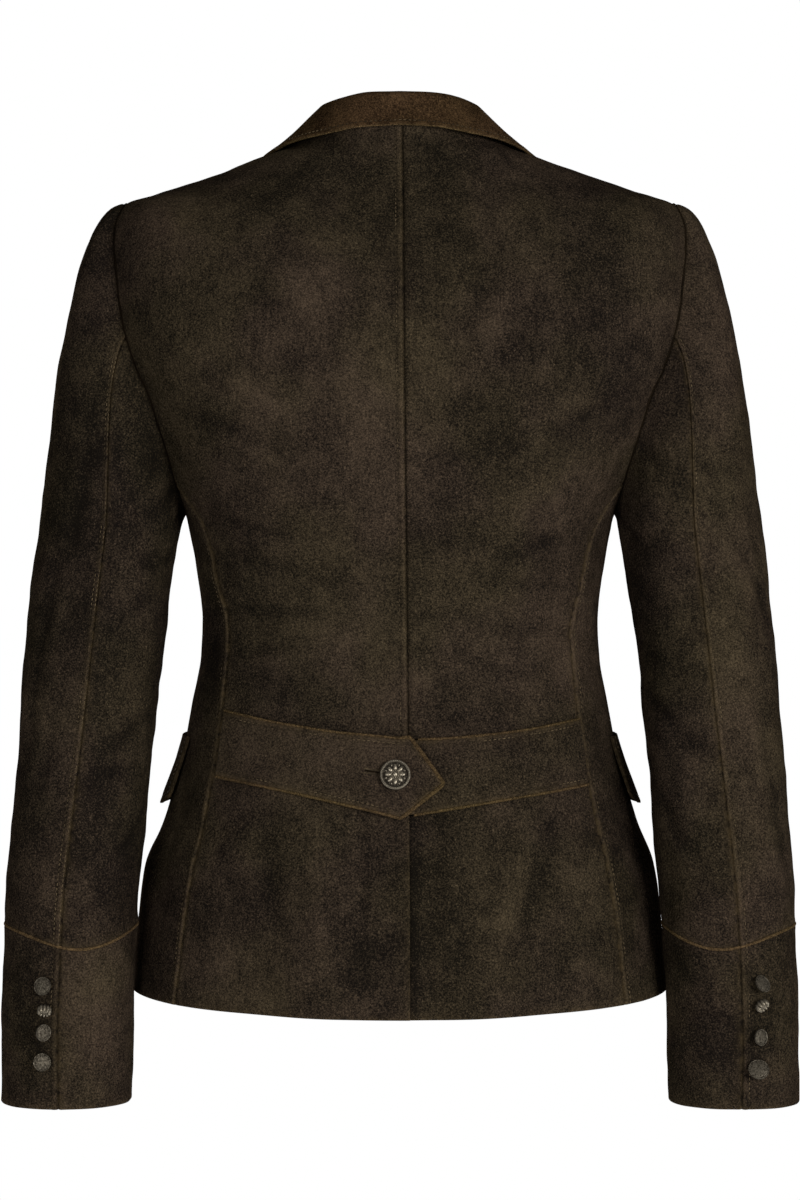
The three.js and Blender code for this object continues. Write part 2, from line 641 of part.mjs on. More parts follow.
// A narrow strip that wraps an edge of the belt: it follows a line of points with its thickness outside
function binding(line, raiseAt) {
  const offsets = line.map((point, i) => {
    const before = line[Math.max(i - 1, 0)];
    const after = line[Math.min(i + 1, line.length - 1)];
    const along = new THREE.Vector2(after.x - before.x, after.z - before.z).normalize();
    return new THREE.Vector2(-along.y, along.x);
  });
  const places = [SEAM_GAP, SEAM_GAP + BINDING].map((away) => line.map((point, i) => {
    return [point.x + offsets[i].x * away, point.z + offsets[i].y * away, raiseAt(point.x)];
  }));
  return panel(places, onBack, { outerLift: ON_TOP + SUEDE + 0.4, thickness: SUEDE + 0.4 });
}

// Pocket flap, standing off a little towards its lower rear corner
function flap() {
  const columns = 8;
  const rows = 4;
  const places = range(rows).map((row) => range(columns).map((i) => {
    const across = i / columns;
    const rise = row / rows;
    const angle = lerp(FLAP.rear, FLAP.fore, across);
    const fromEnd = Math.min(across, 1 - across) * columns;
    const rounding = fromEnd < 1 ? 0.55 * FLAP.cornerRadius * (1 - rise) ** 3 : 0;
    const z = lerp(FLAP.bottom + 4 * across + rounding, FLAP.top + 4 * across, rise);
    return [angle, z, FLAP.flare * (1 - rise) * (1 - 0.6 * across)];
  }));
  return panel(places, torso, { outerLift: ON_TOP + SUEDE });
}

// A turned metal button on its shank, standing on a point of the cloth
function button({ radius, height }, foot, normal, nod = 0, lean = 0) {
  const profile = [
    [0, 0], [SHANK.radius, 0], [SHANK.radius, SHANK.height], [radius * 0.9, SHANK.height],
    [radius, SHANK.height + 0.7], [radius * 0.95, SHANK.height + 1.5], [radius * 0.82, SHANK.height + 1.5],
    [radius * 0.45, SHANK.height + height * 0.86], [0, SHANK.height + height],
  ].map(([across, up]) => new THREE.Vector2(across, up));
  const mesh = new THREE.Mesh(new THREE.LatheGeometry(profile, BUTTON_SIDES));
  const upright = new THREE.Quaternion().setFromUnitVectors(new THREE.Vector3(0, 1, 0), normal);
  const tilt = new THREE.Quaternion().setFromEuler(new THREE.Euler(degToRad(nod), 0, degToRad(lean)));
  mesh.quaternion.copy(tilt.multiply(upright));
  const slant = new THREE.Vector3(0, 1, 0).applyQuaternion(mesh.quaternion).angleTo(normal);
  const lowest = Math.min(...profile.map(({ x, y }) => y * Math.cos(slant) - x * Math.sin(slant)));
  mesh.position.copy(foot).addScaledVector(normal, SHANK.gap - lowest);
  return mesh;
}

// Materials
const suede = new THREE.MeshStandardMaterial({ color: 0x3a3224, roughness: 0.95, metalness: 0 });
const collarSuede = new THREE.MeshStandardMaterial({ color: 0x4d3c22, roughness: 0.92, metalness: 0 });
const tanEdge = new THREE.MeshStandardMaterial({ color: 0x6b5230, roughness: 0.8, metalness: 0 });
const oldSilver = new THREE.MeshStandardMaterial({ color: 0x6e675a, roughness: 0.45, metalness: 0.9 });

const jacket = new THREE.Group();

function add(name, shape, material) {
  const mesh = shape.isMesh ? shape : new THREE.Mesh(shape);
  mesh.material = material;
  mesh.name = name;
  jacket.add(mesh);
}

function addPair(name, geometry, material) {
  add(`${name}_left`, geometry, material);
  add(`${name}_right`, mirrored(geometry), material);
}

add('back_left', backPanel(1), suede);
add('back_right', mirrored(backPanel(-1)), suede);
addPair('side', sidePanel(), suede);
add('front_left', frontPanel(1), suede);
add('front_right', mirrored(frontPanel(-1)), suede);
add('lapel_left', lapel(1), collarSuede);
add('lapel_right', mirrored(lapel(-1)), collarSuede);
add('collar', collar(), collarSuede);
addPair('pocket_flap', flap(), suede);

// Sleeves and cuffs
function sleevePanel(firstTurn, lastTurn) {
  const turns = range((lastTurn - firstTurn) / TURN_STEP).map((i) => firstTurn + i * TURN_STEP);
  const downs = [
    ...range(CAP_ROWS).map((row) => (row / CAP_ROWS) ** 1.35),
    ...range(ARM_ROWS - 1).map((row) => (row + 1) / ARM_ROWS + 1),
  ];
  const places = downs.map((down) => turns.map((turn) => {
    const seam = downAt(cuffSeamHeight(((turn % 360) + 360) % 360));
    return [turn, down <= 1 ? down : lerp(1, seam, down - 1)];
  }));
  return panel(places, sleeve, { seams: { first: true, last: true, high: true } });
}

function cuff() {
  const turns = range(360 / TURN_STEP).map((i) => BACK_SEAM_TURN + i * TURN_STEP);
  const places = range(CUFF_ROWS).map((row) => turns.map((turn) => {
    const seam = cuffSeamHeight(((turn % 360) + 360) % 360);
    return [turn, downAt(lerp(seam, CUFF_END, row / CUFF_ROWS))];
  }));
  return panel(places, sleeve, { seams: { first: true, last: true, low: true } });
}

function cuffPiping() {
  const turns = range(360 / TURN_STEP).map((i) => BACK_SEAM_TURN + i * TURN_STEP);
  const places = [1.3, -1.3].map((off) => turns.map((turn) => {
    return [turn, downAt(cuffSeamHeight(((turn % 360) + 360) % 360) + off)];
  }));
  return panel(places, sleeve, { outerLift: 1.6, thickness: 1.2, seams: { first: true, last: true } });
}

addPair('sleeve_upper', sleevePanel(FRONT_SEAM_TURN - 360, BACK_SEAM_TURN), suede);
addPair('sleeve_under', sleevePanel(BACK_SEAM_TURN, FRONT_SEAM_TURN), suede);
addPair('cuff', cuff(), suede);
addPair('cuff_piping', cuffPiping(), tanEdge);

// Half belt, its bindings and its button
const leftXs = [...range(11).map((i) => lerp(BELT.left.end, BELT.left.topCorner, i / 11)),
  ...[0.34, 0.68, 0.97].map((share) => lerp(BELT.left.topCorner, BELT.left.tip, share))];
add('belt_left', beltPanel(leftXs, leftBeltTop, leftBeltBottom, beltRaise), suede);

const rightXs = range(11).map((i) => lerp(BELT.right.end, BELT.right.under, i / 11));
const rightTop = (x) => beltEdge(BELT.right.top, x);
const rightBottom = (x) => beltEdge(BELT.right.bottom, x);
add('belt_right', mirrored(beltPanel(rightXs, rightTop, rightBottom, () => 0)), suede);

const rim = (xs, heightAt) => xs.map((x) => ({ x: leant(x, heightAt(x)), z: heightAt(x) }));
const leftLine = [...rim(leftXs, leftBeltTop), ...rim([...leftXs].reverse(), leftBeltBottom)];
add('belt_left_binding', binding(leftLine.reverse(), beltRaise), tanEdge);

const bareXs = (end) => range(9).map((i) => lerp(BELT.right.end, end, i / 9));
const rightTopLine = rim(bareXs(12), rightTop);
const rightBottomLine = rim(bareXs(9), rightBottom);
add('belt_right_binding_top', mirrored(binding(rightTopLine.reverse(), () => 0)), tanEdge);
add('belt_right_binding_bottom', mirrored(binding(rightBottomLine, () => 0)), tanEdge);

const beltButton = { x: 3.1, z: -428 };
const beltTop = ON_TOP + SUEDE + BELT_RAISE;
add('belt_button', button(BIG_BUTTON, onBack(beltButton.x, beltButton.z, beltTop + 0.3),
  outward(torsoSkin, angleAt(beltButton.x, beltButton.z, false), beltButton.z, 0.5, 0.5)), oldSilver);

// Front buttons sit on the right front, in the middle of the lap
FRONT_BUTTON_HEIGHTS.forEach((z, i) => {
  const normal = outward(torsoSkin, 180, z, 0.5, 0.5);
  add(`front_button_${i + 1}`, button(BIG_BUTTON, torso(180, z, 0.3), normal), oldSilver);
});

// Cuff buttons
for (const [sideName, side] of [['left', 1], ['right', -1]]) {
  CUFF_BUTTONS[sideName].forEach((row, i) => {
    const down = downAt(row.z);
    const foot = sleeve(row.turn, down);
    const normal = outward(sleeveSkin, row.turn, down, 1, 0.01);
    foot.x *= side;
    normal.x *= side;
    add(`cuff_button_${sideName}_${i + 1}`, button(row, foot, normal, row.nod, row.lean), oldSilver);
  });
}

export default jacket;
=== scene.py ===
# Women's short trachten blazer in dark suede: cloth walls, sewing, bindings and metal buttons.
# The forms are worked out in millimetres, with +Z up. The front faces -Y and the wearer's left is +X.
import math

import bpy
import numpy as np
from mathutils import Matrix, Vector


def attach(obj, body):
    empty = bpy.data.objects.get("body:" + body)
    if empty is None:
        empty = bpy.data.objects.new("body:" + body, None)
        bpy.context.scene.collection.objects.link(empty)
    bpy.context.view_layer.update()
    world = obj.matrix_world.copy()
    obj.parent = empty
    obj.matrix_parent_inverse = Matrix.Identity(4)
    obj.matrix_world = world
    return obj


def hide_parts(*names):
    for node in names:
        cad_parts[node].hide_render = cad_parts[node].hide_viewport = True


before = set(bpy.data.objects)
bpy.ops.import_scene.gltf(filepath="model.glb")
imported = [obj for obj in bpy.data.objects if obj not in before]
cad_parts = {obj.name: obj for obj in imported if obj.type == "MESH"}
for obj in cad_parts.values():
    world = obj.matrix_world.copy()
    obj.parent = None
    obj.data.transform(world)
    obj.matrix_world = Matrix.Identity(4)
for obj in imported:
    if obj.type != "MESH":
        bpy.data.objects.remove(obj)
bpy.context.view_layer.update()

MM = 0.001

# Driving sizes
SUEDE = 1.9
SEAM_GAP = 0.3
ON_TOP = 0.9
SOLID_WALL = 2
OVERLAP_DROP = 2.9
HEM_AT_SIDES = -576
HEM_DROP = 10
HEM_ZONE = -500
UNDERARM = -215
CALM_AT_SEAM = 14
NECK_SIDE = 1
NECK_RISE_BACK = 11
NECK_FALL_FRONT = 27
NECK_FRONT_ANGLE = 141.6
ARMHOLE_TOP = -38.6
ARMHOLE_BOTTOM = -250
SIDE_TURN = 144
BICEPS = -262
CUFF_SEAM = -529
CUFF_SEAM_DIP = 14
CUFF_END = -651
BACK_SEAM_TURN = 84
FRONT_SEAM_TURN = 240
BREAK_POINT = -225
FRONT_LAP = 20
FRONT_CORNER = 44
VENT_TOP = -440
VENT_UNDERLAP = 20
ARM_POWER = 2.15
SIDES = (("left", 1), ("right", -1))

# How fine the cloth's grids are
CELL = 3.1
PLAIN_EDGE = (0, 0.35, 0.8, 1.5, 2.6, 4.4)
TOPSTITCH = 4.9
STITCHED_EDGE = (0, 0.35, 0.8, 1.5, 2.4, 3.5, 4.3, 4.9, 5.5, 6.3, 8.2)


def table(names, *rows):
    """Rows of numbers under named columns, in the order of the first column."""
    ordered = sorted(rows)
    return {name: np.array(values, float) for name, values in zip(names.split(), zip(*ordered))}


def rows_of(columns):
    """The rows of a table, one after another, as names with their values."""
    for values in zip(*columns.values()):
        yield dict(zip(columns, values))


FOLD_COLUMNS = "angle z reach length depth lean"
CREASE_COLUMNS = "across z slant length width depth"
TONE_COLUMNS = "x z wide high tone"


# The body's level sections: half width, where the centre back, centre front and widest line lie, and the
# power that makes a section rounder or squarer
TORSO = table(
    "z half back front middle power",
    (-610, 190, 125, -132, -15, 2.3),
    (-583, 186, 123, -131, -15, 2.3),
    (-530, 179, 119, -129, -13, 2.3),
    (-490, 173, 112, -127, -12, 2.3),
    (-462, 162, 107, -125, -10, 2.3),
    (-435, 154.5, 101, -122, -9, 2.3),
    (-407, 148, 93, -119, -8, 2.3),
    (-379, 143, 86, -117, -7, 2.3),
    (-352, 138, 81.5, -117, -6, 2.3),
    (-324, 136.3, 80, -121, -5, 2.3),
    (-283, 141, 89, -136, -4, 2.3),
    (-248, 148.5, 101, -139, -3, 2.35),
    (-224, 159, 107, -133, -2, 2.4),
    (-197, 170.7, 110, -123, -1, 2.45),
    (-172, 178.5, 111, -114, 0, 2.55),
    (-152, 188, 109, -107, 0, 2.65),
    (-128, 195, 106, -98, 0, 2.75),
    (-103, 197.4, 101, -89, 1, 2.85),
    (-76, 198.2, 92, -79, 2, 2.9),
    (-59, 197.4, 85, -71, 3, 2.8),
    (-47, 194.5, 79.5, -66, 3.5, 2.5),
    (-38.6, 188.5, 75, -62, 4, 2.2),
    (-30.4, 164, 71, -60, 4, 2.05),
    (-19.3, 129, 66.5, -57, 5, 2),
    (-8.3, 100, 63, -55, 5, 2),
    (1, 75, 61, -52, 5, 2),
    (14, 58, 60, -48, 5, 2),
    (30, 50, 59, -44, 5, 2),
)

# Broad soft folds: place, reach to each side in degrees, half length, depth and lean
TORSO_FOLDS = table(
    FOLD_COLUMNS,
    (74, -480, 5, 62, -3.6, 0.02),
    (82, -500, 6, 60, 2.6, 0.03),
    (40, -560, 9, 70, -3.0, 0.03),
    (22, -560, 8, 75, 2.0, 0.02),
    (104, -540, 8, 80, -3.0, 0.0),
    (62, -335, 13, 22, -2.4, 0.0),
    (66, -300, 12, 16, 1.6, 0.0),
    (120, -330, 16, 24, -2.0, 0.0),
)
ARM_FOLDS = table(
    FOLD_COLUMNS,
    (62, -300, 16, 60, -2.2, -0.05),
    (112, -390, 22, 26, -2.0, 0.1),
    (250, -372, 34, 16, -3.4, 0.1),
    (235, -402, 30, 13, -2.6, 0.1),
    (205, -345, 26, 12, -2.0, 0.1),
    (150, -500, 24, 22, -1.6, 0.1),
)

# Where the side-back and side-front seams run, as angles from the centre back
SIDE_SEAMS = table(
    "z back front",
    (-583, 59.2, 116),
    (-500, 58.9, 115.5),
    (-440, 60.7, 115),
    (-388, 63.4, 115),
    (-345, 66.6, 115),
    (-300, 68, 114),
    (-262, 69.6, 112),
    (-229.8, 78, 109),
)

# The armhole, by its turn from the shoulder, as angles on the body's back and front halves
ARMHOLE = table(
    "turn back front",
    (0, 90, 90),
    (15, 85, 95.5),
    (36, 82, 99.5),
    (67, 77, 105),
    (94, 74.4, 110),
    (120, 74, 112.5),
    (144, 78, 109),
    (162, 83.5, 100),
    (180, 90, 90),
)

# How the sleeve head leaves the armhole and meets the arm, by the turn from the shoulder
SLEEVE_HEAD = table(
    "turn out_x out_y out_z down_x down_z",
    (0, 110, 0, 5, 30, -240),
    (45, 88, 36, -30, 20, -190),
    (90, 36, 44, -70, 8, -120),
    (135, 8, 20, -34, 4, -40),
    (180, 5, 2, -12, 3, -14),
)

# The arm's level sections: centre, half width, half depth and the twist of the seams
ARM = table(
    "z x y wide deep twist",
    (-262, 199.4, 12, 48.8, 55, 8),
    (-310, 205.2, 22, 47.8, 53.5, 9),
    (-379, 211, 33, 46.7, 51, 8),
    (-448, 216.6, 39, 45.6, 49, 5.5),
    (-517, 222, 41, 44.9, 47.5, 3),
    (-586, 225.3, 39, 44.3, 46.5, 3),
    (-660, 227.4, 31, 44.4, 46.5, 5),
)

# The collar from the centre back to its front ends, by angle: the roll on top and the edge of the leaf
COLLAR = table(
    "angle roll_x roll_y roll_z edge_x edge_y edge_z",
    (0, 0, 52, 32.7, 0, 67, 9.4),
    (20, 17, 50.2, 32.2, 24, 65, 8.2),
    (40, 33, 45, 31, 45, 58, 5.4),
    (70, 51.5, 24, 28, 75, 36, 1.5),
    (90, 57.5, 3, 24, 88, 6, -1.5),
    (112, 60.5, -22, 15, 97, -26, -18),
    (127, 56, -41, 3, 97, -50, -40),
    (138.5, 51, -52, -11, 80, -68, -57),
)
COLLAR_END = 138.5

# The front roll line, the lapel's top edge and the left lapel's foot
ROLL_TOP_X = 50
ROLL_TOP_Z = -34
LAPEL_TOP = table("across x z", (0, 51, -20), (0.5, 78, -63), (1, 105, -86))
LAPEL_FOOT_X = 17
LAPEL_FOOT_Z = -207
LAPEL_BELLY = 9
LAPEL_ROLL_LIFT = 1.6

# The half belt's edges on the back: height at the centre, slope and curve with the distance from it.
# Its ends lean with the side-back seams.
BELT_LEAN = 0.125
BELT_LEAN_MIDDLE = -408
BELT_LEFT_END = 119.5
BELT_RIGHT_END = 121.4
BELT_RIGHT_UNDER = -14
BELT_TIP_X = -27.4
BELT_TIP_Z = -432.7
BELT_TOP_CORNER = -6
BELT_BOTTOM_CORNER = 0
BELT_EDGES = {
    "left_top": (-404, 0.0834, 0.00055),
    "left_bottom": (-454.6, 0.262, -0.00038),
    "right_top": (-404.2, 0, 0.00085),
    "right_bottom": (-453.6, 0.16, 0),
}
BELT_RAISE = 2.9
BELT_STITCH = 3.2
BELT_STEP = 2.2
BELT_CELLS = 16

FLAP_REAR = 78
FLAP_FORE = 138
FLAP_TOP = -404
FLAP_BOTTOM = -452.5
FLAP_FLARE = 4
FLAP_CORNER = 12
FLAP_SLANT = 4

# The cuff buttons of each sleeve from the top down: place, radius, and tilt of the face in degrees
CUFF_BUTTONS = {
    "left": (
        ("disc", 72, -567.6, 6.1, 14, -8),
        ("fluted", 74, -580, 4.8, -50, 10),
        ("disc", 72, -598, 5.7, 6, 52),
        ("disc", 72, -618.3, 6, 8, 6),
    ),
    "right": (
        ("disc", 69, -566.6, 6.1, 42, 18),
        ("fluted", 71, -577.5, 4.8, -46, 20),
        ("disc", 71, -601.7, 5.6, 12, 24),
        ("disc", 72, -623.8, 7, 40, -10),
    ),
}
FRONT_BUTTON_HEIGHTS = (-250, -330, -410)
BELT_BUTTON_X = 3.1
BELT_BUTTON_Z = -428
BIG_BUTTON = 10
SHANK_RADIUS = 1.6
SHANK_HEIGHT = 1.6
SHANK_GAP = 0.1
BUTTON_CLEAR = 0.3
BUTTONHOLE_X = (23.1, 5)
BUTTONHOLE_Z = (-424.6, -427.3)

# The bindings' half width, wider at the belt's point, and their depth under the belt's face
BINDING_WIDE = 1.15
BINDING_AT_TIP = 1.7
BINDING_LOW = 1.1
BELT_BASE = ON_TOP + SOLID_WALL

# The photograph's camera, the floor and the light of the surroundings
CAMERA_DISTANCE = 2.4
CAMERA_HEIGHT = -0.3105
CAMERA_LENS = 104.35
CAMERA_SENSOR = 36
FLOOR = -1.35
FLOOR_SIZE = 6
WORLD_LIGHT = 0.15


# Curves and small helpers
def lerp(a, b, t):
    return a + (b - a) * t


def smoothstep(x, low, high):
    t = np.clip((x - low) / (high - low), 0, 1)
    return t * t * (3 - 2 * t)


def bell(x, width):
    return np.exp(-((x / width) ** 2))


def unit(vectors):
    return vectors / np.maximum(np.linalg.norm(vectors, axis=-1, keepdims=True), 1e-9)


def hermite(start, start_slope, end, end_slope, t):
    t2 = t * t
    t3 = t2 * t
    return ((2 * t3 - 3 * t2 + 1) * start + (t3 - 2 * t2 + t) * start_slope
            + (3 * t2 - 2 * t3) * end + (t3 - t2) * end_slope)


def curve(rows, place, value):
    """A smooth reading of one column of a table, which never overshoots its rows."""
    places, values = rows[place], rows[value]
    widths = np.diff(places)
    slopes = np.diff(values) / widths
    before, after = slopes[:-1], slopes[1:]
    turning = before * after <= 0
    total = np.where(turning, 1, before + after)
    tangents = np.concatenate([slopes[:1], np.where(turning, 0, 2 * before * after / total), slopes[-1:]])

    def read(at):
        at = np.clip(at, places[0], places[-1])
        i = np.clip(np.searchsorted(places, at, side="right") - 1, 0, len(places) - 2)
        t = (at - places[i]) / widths[i]
        return hermite(values[i], tangents[i] * widths[i], values[i + 1], tangents[i + 1] * widths[i], t)

    return read


def curves(rows, place):
    return {name: curve(rows, place, name) for name in rows if name != place}


def fold_depth(folds, angle, z):
    total = np.zeros(np.broadcast(angle, z).shape)
    for row in rows_of(folds):
        aside = (angle - row["angle"] - row["lean"] * (z - row["z"])) / row["reach"]
        total = total + row["depth"] * np.exp(-aside ** 2 - ((z - row["z"]) / row["length"]) ** 2)
    return total


def outward(surface, u, v, step_u, step_v):
    along_u = surface(u + step_u, v) - surface(u - step_u, v)
    along_v = surface(u, v + step_v) - surface(u, v - step_v)
    return unit(np.cross(along_v, along_u))


def walked(points, axis=-2):
    """The distance walked along a line of points, from 0 at its start."""
    steps = np.linalg.norm(np.diff(points, axis=axis), axis=-1)
    run = np.cumsum(steps, axis=axis + 1)
    start = np.zeros_like(np.take(run, [0], axis=axis + 1))
    return np.concatenate([start, run], axis=axis + 1)


def read_at(places, run, values):
    """The points or directions of a line at those distances along it."""
    return np.stack([np.interp(places, run, values[:, axis]) for axis in range(3)], -1)


# The body's form
torso_half = curve(TORSO, "z", "half")
torso_back = curve(TORSO, "z", "back")
torso_front = curve(TORSO, "z", "front")
torso_middle = curve(TORSO, "z", "middle")
torso_power = curve(TORSO, "z", "power")
side_back_seam = curve(SIDE_SEAMS, "z", "back")
side_front_seam = curve(SIDE_SEAMS, "z", "front")


def torso_depth(z, on_front):
    return np.where(on_front, torso_middle(z) - torso_front(z), torso_back(z) - torso_middle(z))


def torso_skin(angle, z):
    angle, z = np.broadcast_arrays(np.asarray(angle, float), np.asarray(z, float))
    sine, cosine = np.sin(np.radians(angle)), np.cos(np.radians(angle))
    power = torso_power(z)
    across = np.abs(sine) / torso_half(z)
    along = np.abs(cosine) / torso_depth(z, cosine < 0)
    radius = (across ** power + along ** power) ** (-1 / power) + fold_depth(TORSO_FOLDS, np.abs(angle), z)
    return np.stack([radius * sine, torso_middle(z) + radius * cosine, z], -1)


def torso_normal(angle, z):
    return outward(torso_skin, angle, z, 0.5, 0.5)


def torso(angle, z, lift=0.0):
    return torso_skin(angle, z) + torso_normal(angle, z) * np.asarray(lift)[..., None]


def angle_at(x, z, on_front):
    """The angle at which the body's back or front passes a distance from the middle plane."""
    power = torso_power(z)
    share = (1 - np.minimum(np.abs(x) / torso_half(z), 1) ** power) ** (1 / power)
    depth = torso_depth(z, on_front) * share
    angle = np.degrees(np.arctan2(x, -depth if on_front else depth))
    return np.where(angle < -90, angle + 360, angle) if on_front else angle


def clearance_level(p):
    x, y, z = p[..., 0], p[..., 1], p[..., 2]
    depth = torso_depth(z, y < torso_middle(z))
    power = torso_power(z)
    across = (np.abs(x) / torso_half(z)) ** power
    along = (np.abs(y - torso_middle(z)) / depth) ** power
    return (across + along) ** (1 / power) - 1


def lift_off(points, least):
    """Moves points out until they lie at least that far outside the body's skin."""
    for _ in range(4):
        axes = [clearance_level(points + step) - clearance_level(points - step) for step in np.eye(3) * 0.5]
        slope = np.stack(axes, -1)
        distance = clearance_level(points) / np.maximum(np.linalg.norm(slope, axis=-1), 1e-9)
        points = points + unit(slope) * np.maximum(least - distance, 0)[..., None]
    return points


def hem_height(angle):
    return HEM_AT_SIDES - HEM_DROP * np.abs(np.cos(np.radians(angle)))


def neck_height(angle):
    back = NECK_RISE_BACK * np.maximum(np.cos(np.radians(angle)), 0) ** 1.3
    front = NECK_FALL_FRONT * np.maximum((angle - 90) / (NECK_FRONT_ANGLE - 90), 0) ** 2.4
    return NECK_SIDE + back - front


armhole_back = curve(ARMHOLE, "turn", "back")
armhole_front = curve(ARMHOLE, "turn", "front")


def armhole_height(turn):
    middle = (ARMHOLE_TOP + ARMHOLE_BOTTOM) / 2
    return middle + (ARMHOLE_TOP - ARMHOLE_BOTTOM) / 2 * np.cos(np.radians(turn))


def armhole_angle(turn):
    around = np.mod(turn, 360)
    return np.where(around <= 180, armhole_back(around), armhole_front(360 - around))


# The sleeve as one surface: down from 0 to 1 is the head, and from 1 on it is the arm
head = curves(SLEEVE_HEAD, "turn")
arm = curves(ARM, "z")


def arm_skin(turn, z):
    around = np.radians(turn + arm["twist"](z))
    across = np.abs(np.cos(around)) / arm["wide"](z)
    along = np.abs(np.sin(around)) / arm["deep"](z)
    radius = (across ** ARM_POWER + along ** ARM_POWER) ** (-1 / ARM_POWER)
    radius = radius + fold_depth(ARM_FOLDS, np.mod(turn, 360), z)
    return np.stack([arm["x"](z) + radius * np.cos(around), arm["y"](z) + radius * np.sin(around), z], -1)


def head_skin(turn, share):
    around = np.mod(turn, 360)
    folded = np.minimum(around, 360 - around)
    to_back = np.where(around <= 180, 1, -1)
    start = torso(armhole_angle(turn), armhole_height(turn), np.full(turn.shape, SEAM_GAP))
    end = arm_skin(turn, np.full(turn.shape, float(BICEPS)))
    return np.stack([
        hermite(start[..., 0], head["out_x"](folded), end[..., 0], head["down_x"](folded), share),
        hermite(start[..., 1], head["out_y"](folded) * to_back, end[..., 1], 0, share),
        hermite(start[..., 2], head["out_z"](folded), end[..., 2], head["down_z"](folded), share),
    ], -1)


def sleeve_skin(turn, down):
    turn, down = np.broadcast_arrays(np.asarray(turn, float), np.asarray(down, float))
    on_head = head_skin(turn, np.clip(down, 0, 1))
    on_arm = arm_skin(turn, BICEPS - (np.maximum(down, 1) - 1) * (BICEPS - CUFF_END))
    return np.where((down <= 1)[..., None], on_head, on_arm)


def down_at(z):
    return 1 + (BICEPS - z) / (BICEPS - CUFF_END)


def sleeve_normal(turn, down):
    return outward(sleeve_skin, turn, down, 1, 0.01)


def cuff_seam_height(turn):
    return CUFF_SEAM - CUFF_SEAM_DIP * bell(np.mod(turn, 360) - 100, 46)


# Grids of places, measured out in real distances
def spread(lengths, near_first, near_last, count):
    """Distances along lines of those lengths: given steps near both ends, and even ones between them."""
    lengths = np.asarray(lengths, float)[:, None]
    first = np.array(near_first) * np.minimum(1, 0.4 * lengths / max(near_first[-1], 1e-9))
    last = np.array(near_last) * np.minimum(1, 0.4 * lengths / max(near_last[-1], 1e-9))
    after = lengths - last[:, ::-1]
    shares = np.linspace(0, 1, count + 1)[1:-1]
    between = first[:, -1:] + (after[:, :1] - first[:, -1:]) * shares
    return np.hstack([first, between, after])


def measured(us, vs, surface, near_first, near_last, cell=CELL):
    """Places along sampled lines on a surface, set out again at real distances. Each line is one row."""
    runs = walked(surface(us, vs))
    count = max(2, round(float(np.max(runs[:, -1])) / cell))
    wanted = spread(runs[:, -1], near_first, near_last, count)

    def set_out(values):
        return np.array([np.interp(places, run, value) for places, run, value in zip(wanted, runs, values)])

    return set_out(us), set_out(vs)


def shares_between(length, near_first, near_last, cell=CELL):
    count = max(2, round(length / cell))
    return spread([length], near_first, near_last, count)[0] / length


# Unevenness of worn suede
def waves(points, seed, size, count=7):
    """A seeded unevenness of about 1 either way, with features of about that size."""
    random = np.random.default_rng(seed)
    total = np.zeros(points.shape[:-1])
    for _ in range(count):
        direction = unit(random.normal(size=3))
        length = size * random.uniform(0.7, 1.5)
        total += np.sin(points @ direction * (2 * math.pi / length) + random.uniform(0, 2 * math.pi))
    return total / math.sqrt(count / 2) * 0.7


# The height and size of each kind of wave in a part of the cloth, and of the clouds in its tone
BODY_WAVES = ((0.55, 120), (0.25, 44), (0.1, 17))
SLEEVE_WAVES = ((0.7, 90), (0.35, 36), (0.12, 15))
COLLAR_WAVES = ((0.35, 60), (0.12, 22))
SMALL_PIECE_WAVES = ((0.12, 40), (0.06, 18))
TONE_WAVES = ((0.16, 60), (0.1, 26))


def unevenness(points, kinds, seed):
    return sum(height * waves(points, seed + i, size) for i, (height, size) in enumerate(kinds))


def creases(rows, across, height):
    """Soft creases with raised lips, each turned by its slant. Distances are in millimetres."""
    total = np.zeros(across.shape)
    for row in rows_of(rows):
        aside, rise = across - row["across"], height - row["z"]
        slant = math.radians(row["slant"])
        along = aside * math.cos(slant) + rise * math.sin(slant)
        over = (rise * math.cos(slant) - aside * math.sin(slant)) / row["width"]
        over = over + 0.25 * np.sin(along / row["length"] * 2.3 + row["z"])
        total += row["depth"] * (1 - 1.1 * over ** 2) * np.exp(-over ** 2) * bell(along, row["length"])
    return total


def seam_relief(distance, run, seed, stitched=False, deep=1.0):
    """How the cloth lies beside a seam: rolled in at the seam, plump beside it and faintly puckered."""
    random = np.random.default_rng(seed)
    lift = -1.0 * deep * bell(distance, 0.75) + 0.3 * bell(distance - 2.4, 1.9)
    for length in (17, 26, 41):
        wave = np.sin(run * 2 * math.pi / (length * random.uniform(0.85, 1.15)) + random.uniform(0, 6))
        lift += 0.16 * wave * np.exp(-distance / 9) * (1 - bell(distance, 1.2))
    if stitched:
        lift += 0.35 * (1 - smoothstep(distance, 4.4, 6.6)) * (1 - bell(distance, 1.4))
        lift -= 0.42 * bell(distance - TOPSTITCH, 0.85)
    return lift


def seam_shade(distance, stitched=False):
    """Painted shade in the ditch of a seam and in the groove of its topstitching, a lighter ridge beside it
    where it is stitched down, and a painted shadow beside it where it is not.
    """
    shade = -1.6 * bell(distance, 0.55)
    if stitched:
        shade = shade + 0.6 * bell(distance - 1.7, 0.8) + 0.15 * bell(distance - 3, 2)
        return shade - 0.5 * bell(distance - TOPSTITCH, 0.6)
    return shade - 0.25 * bell(distance - 1.5, 2)


def edge_relief(distance):
    """A cut or turned edge rounds off over its last millimetre."""
    return -0.8 * bell(distance, 0.6)


CREASE_DEPTH = 1.5
CREASE_SHADE = 0.5

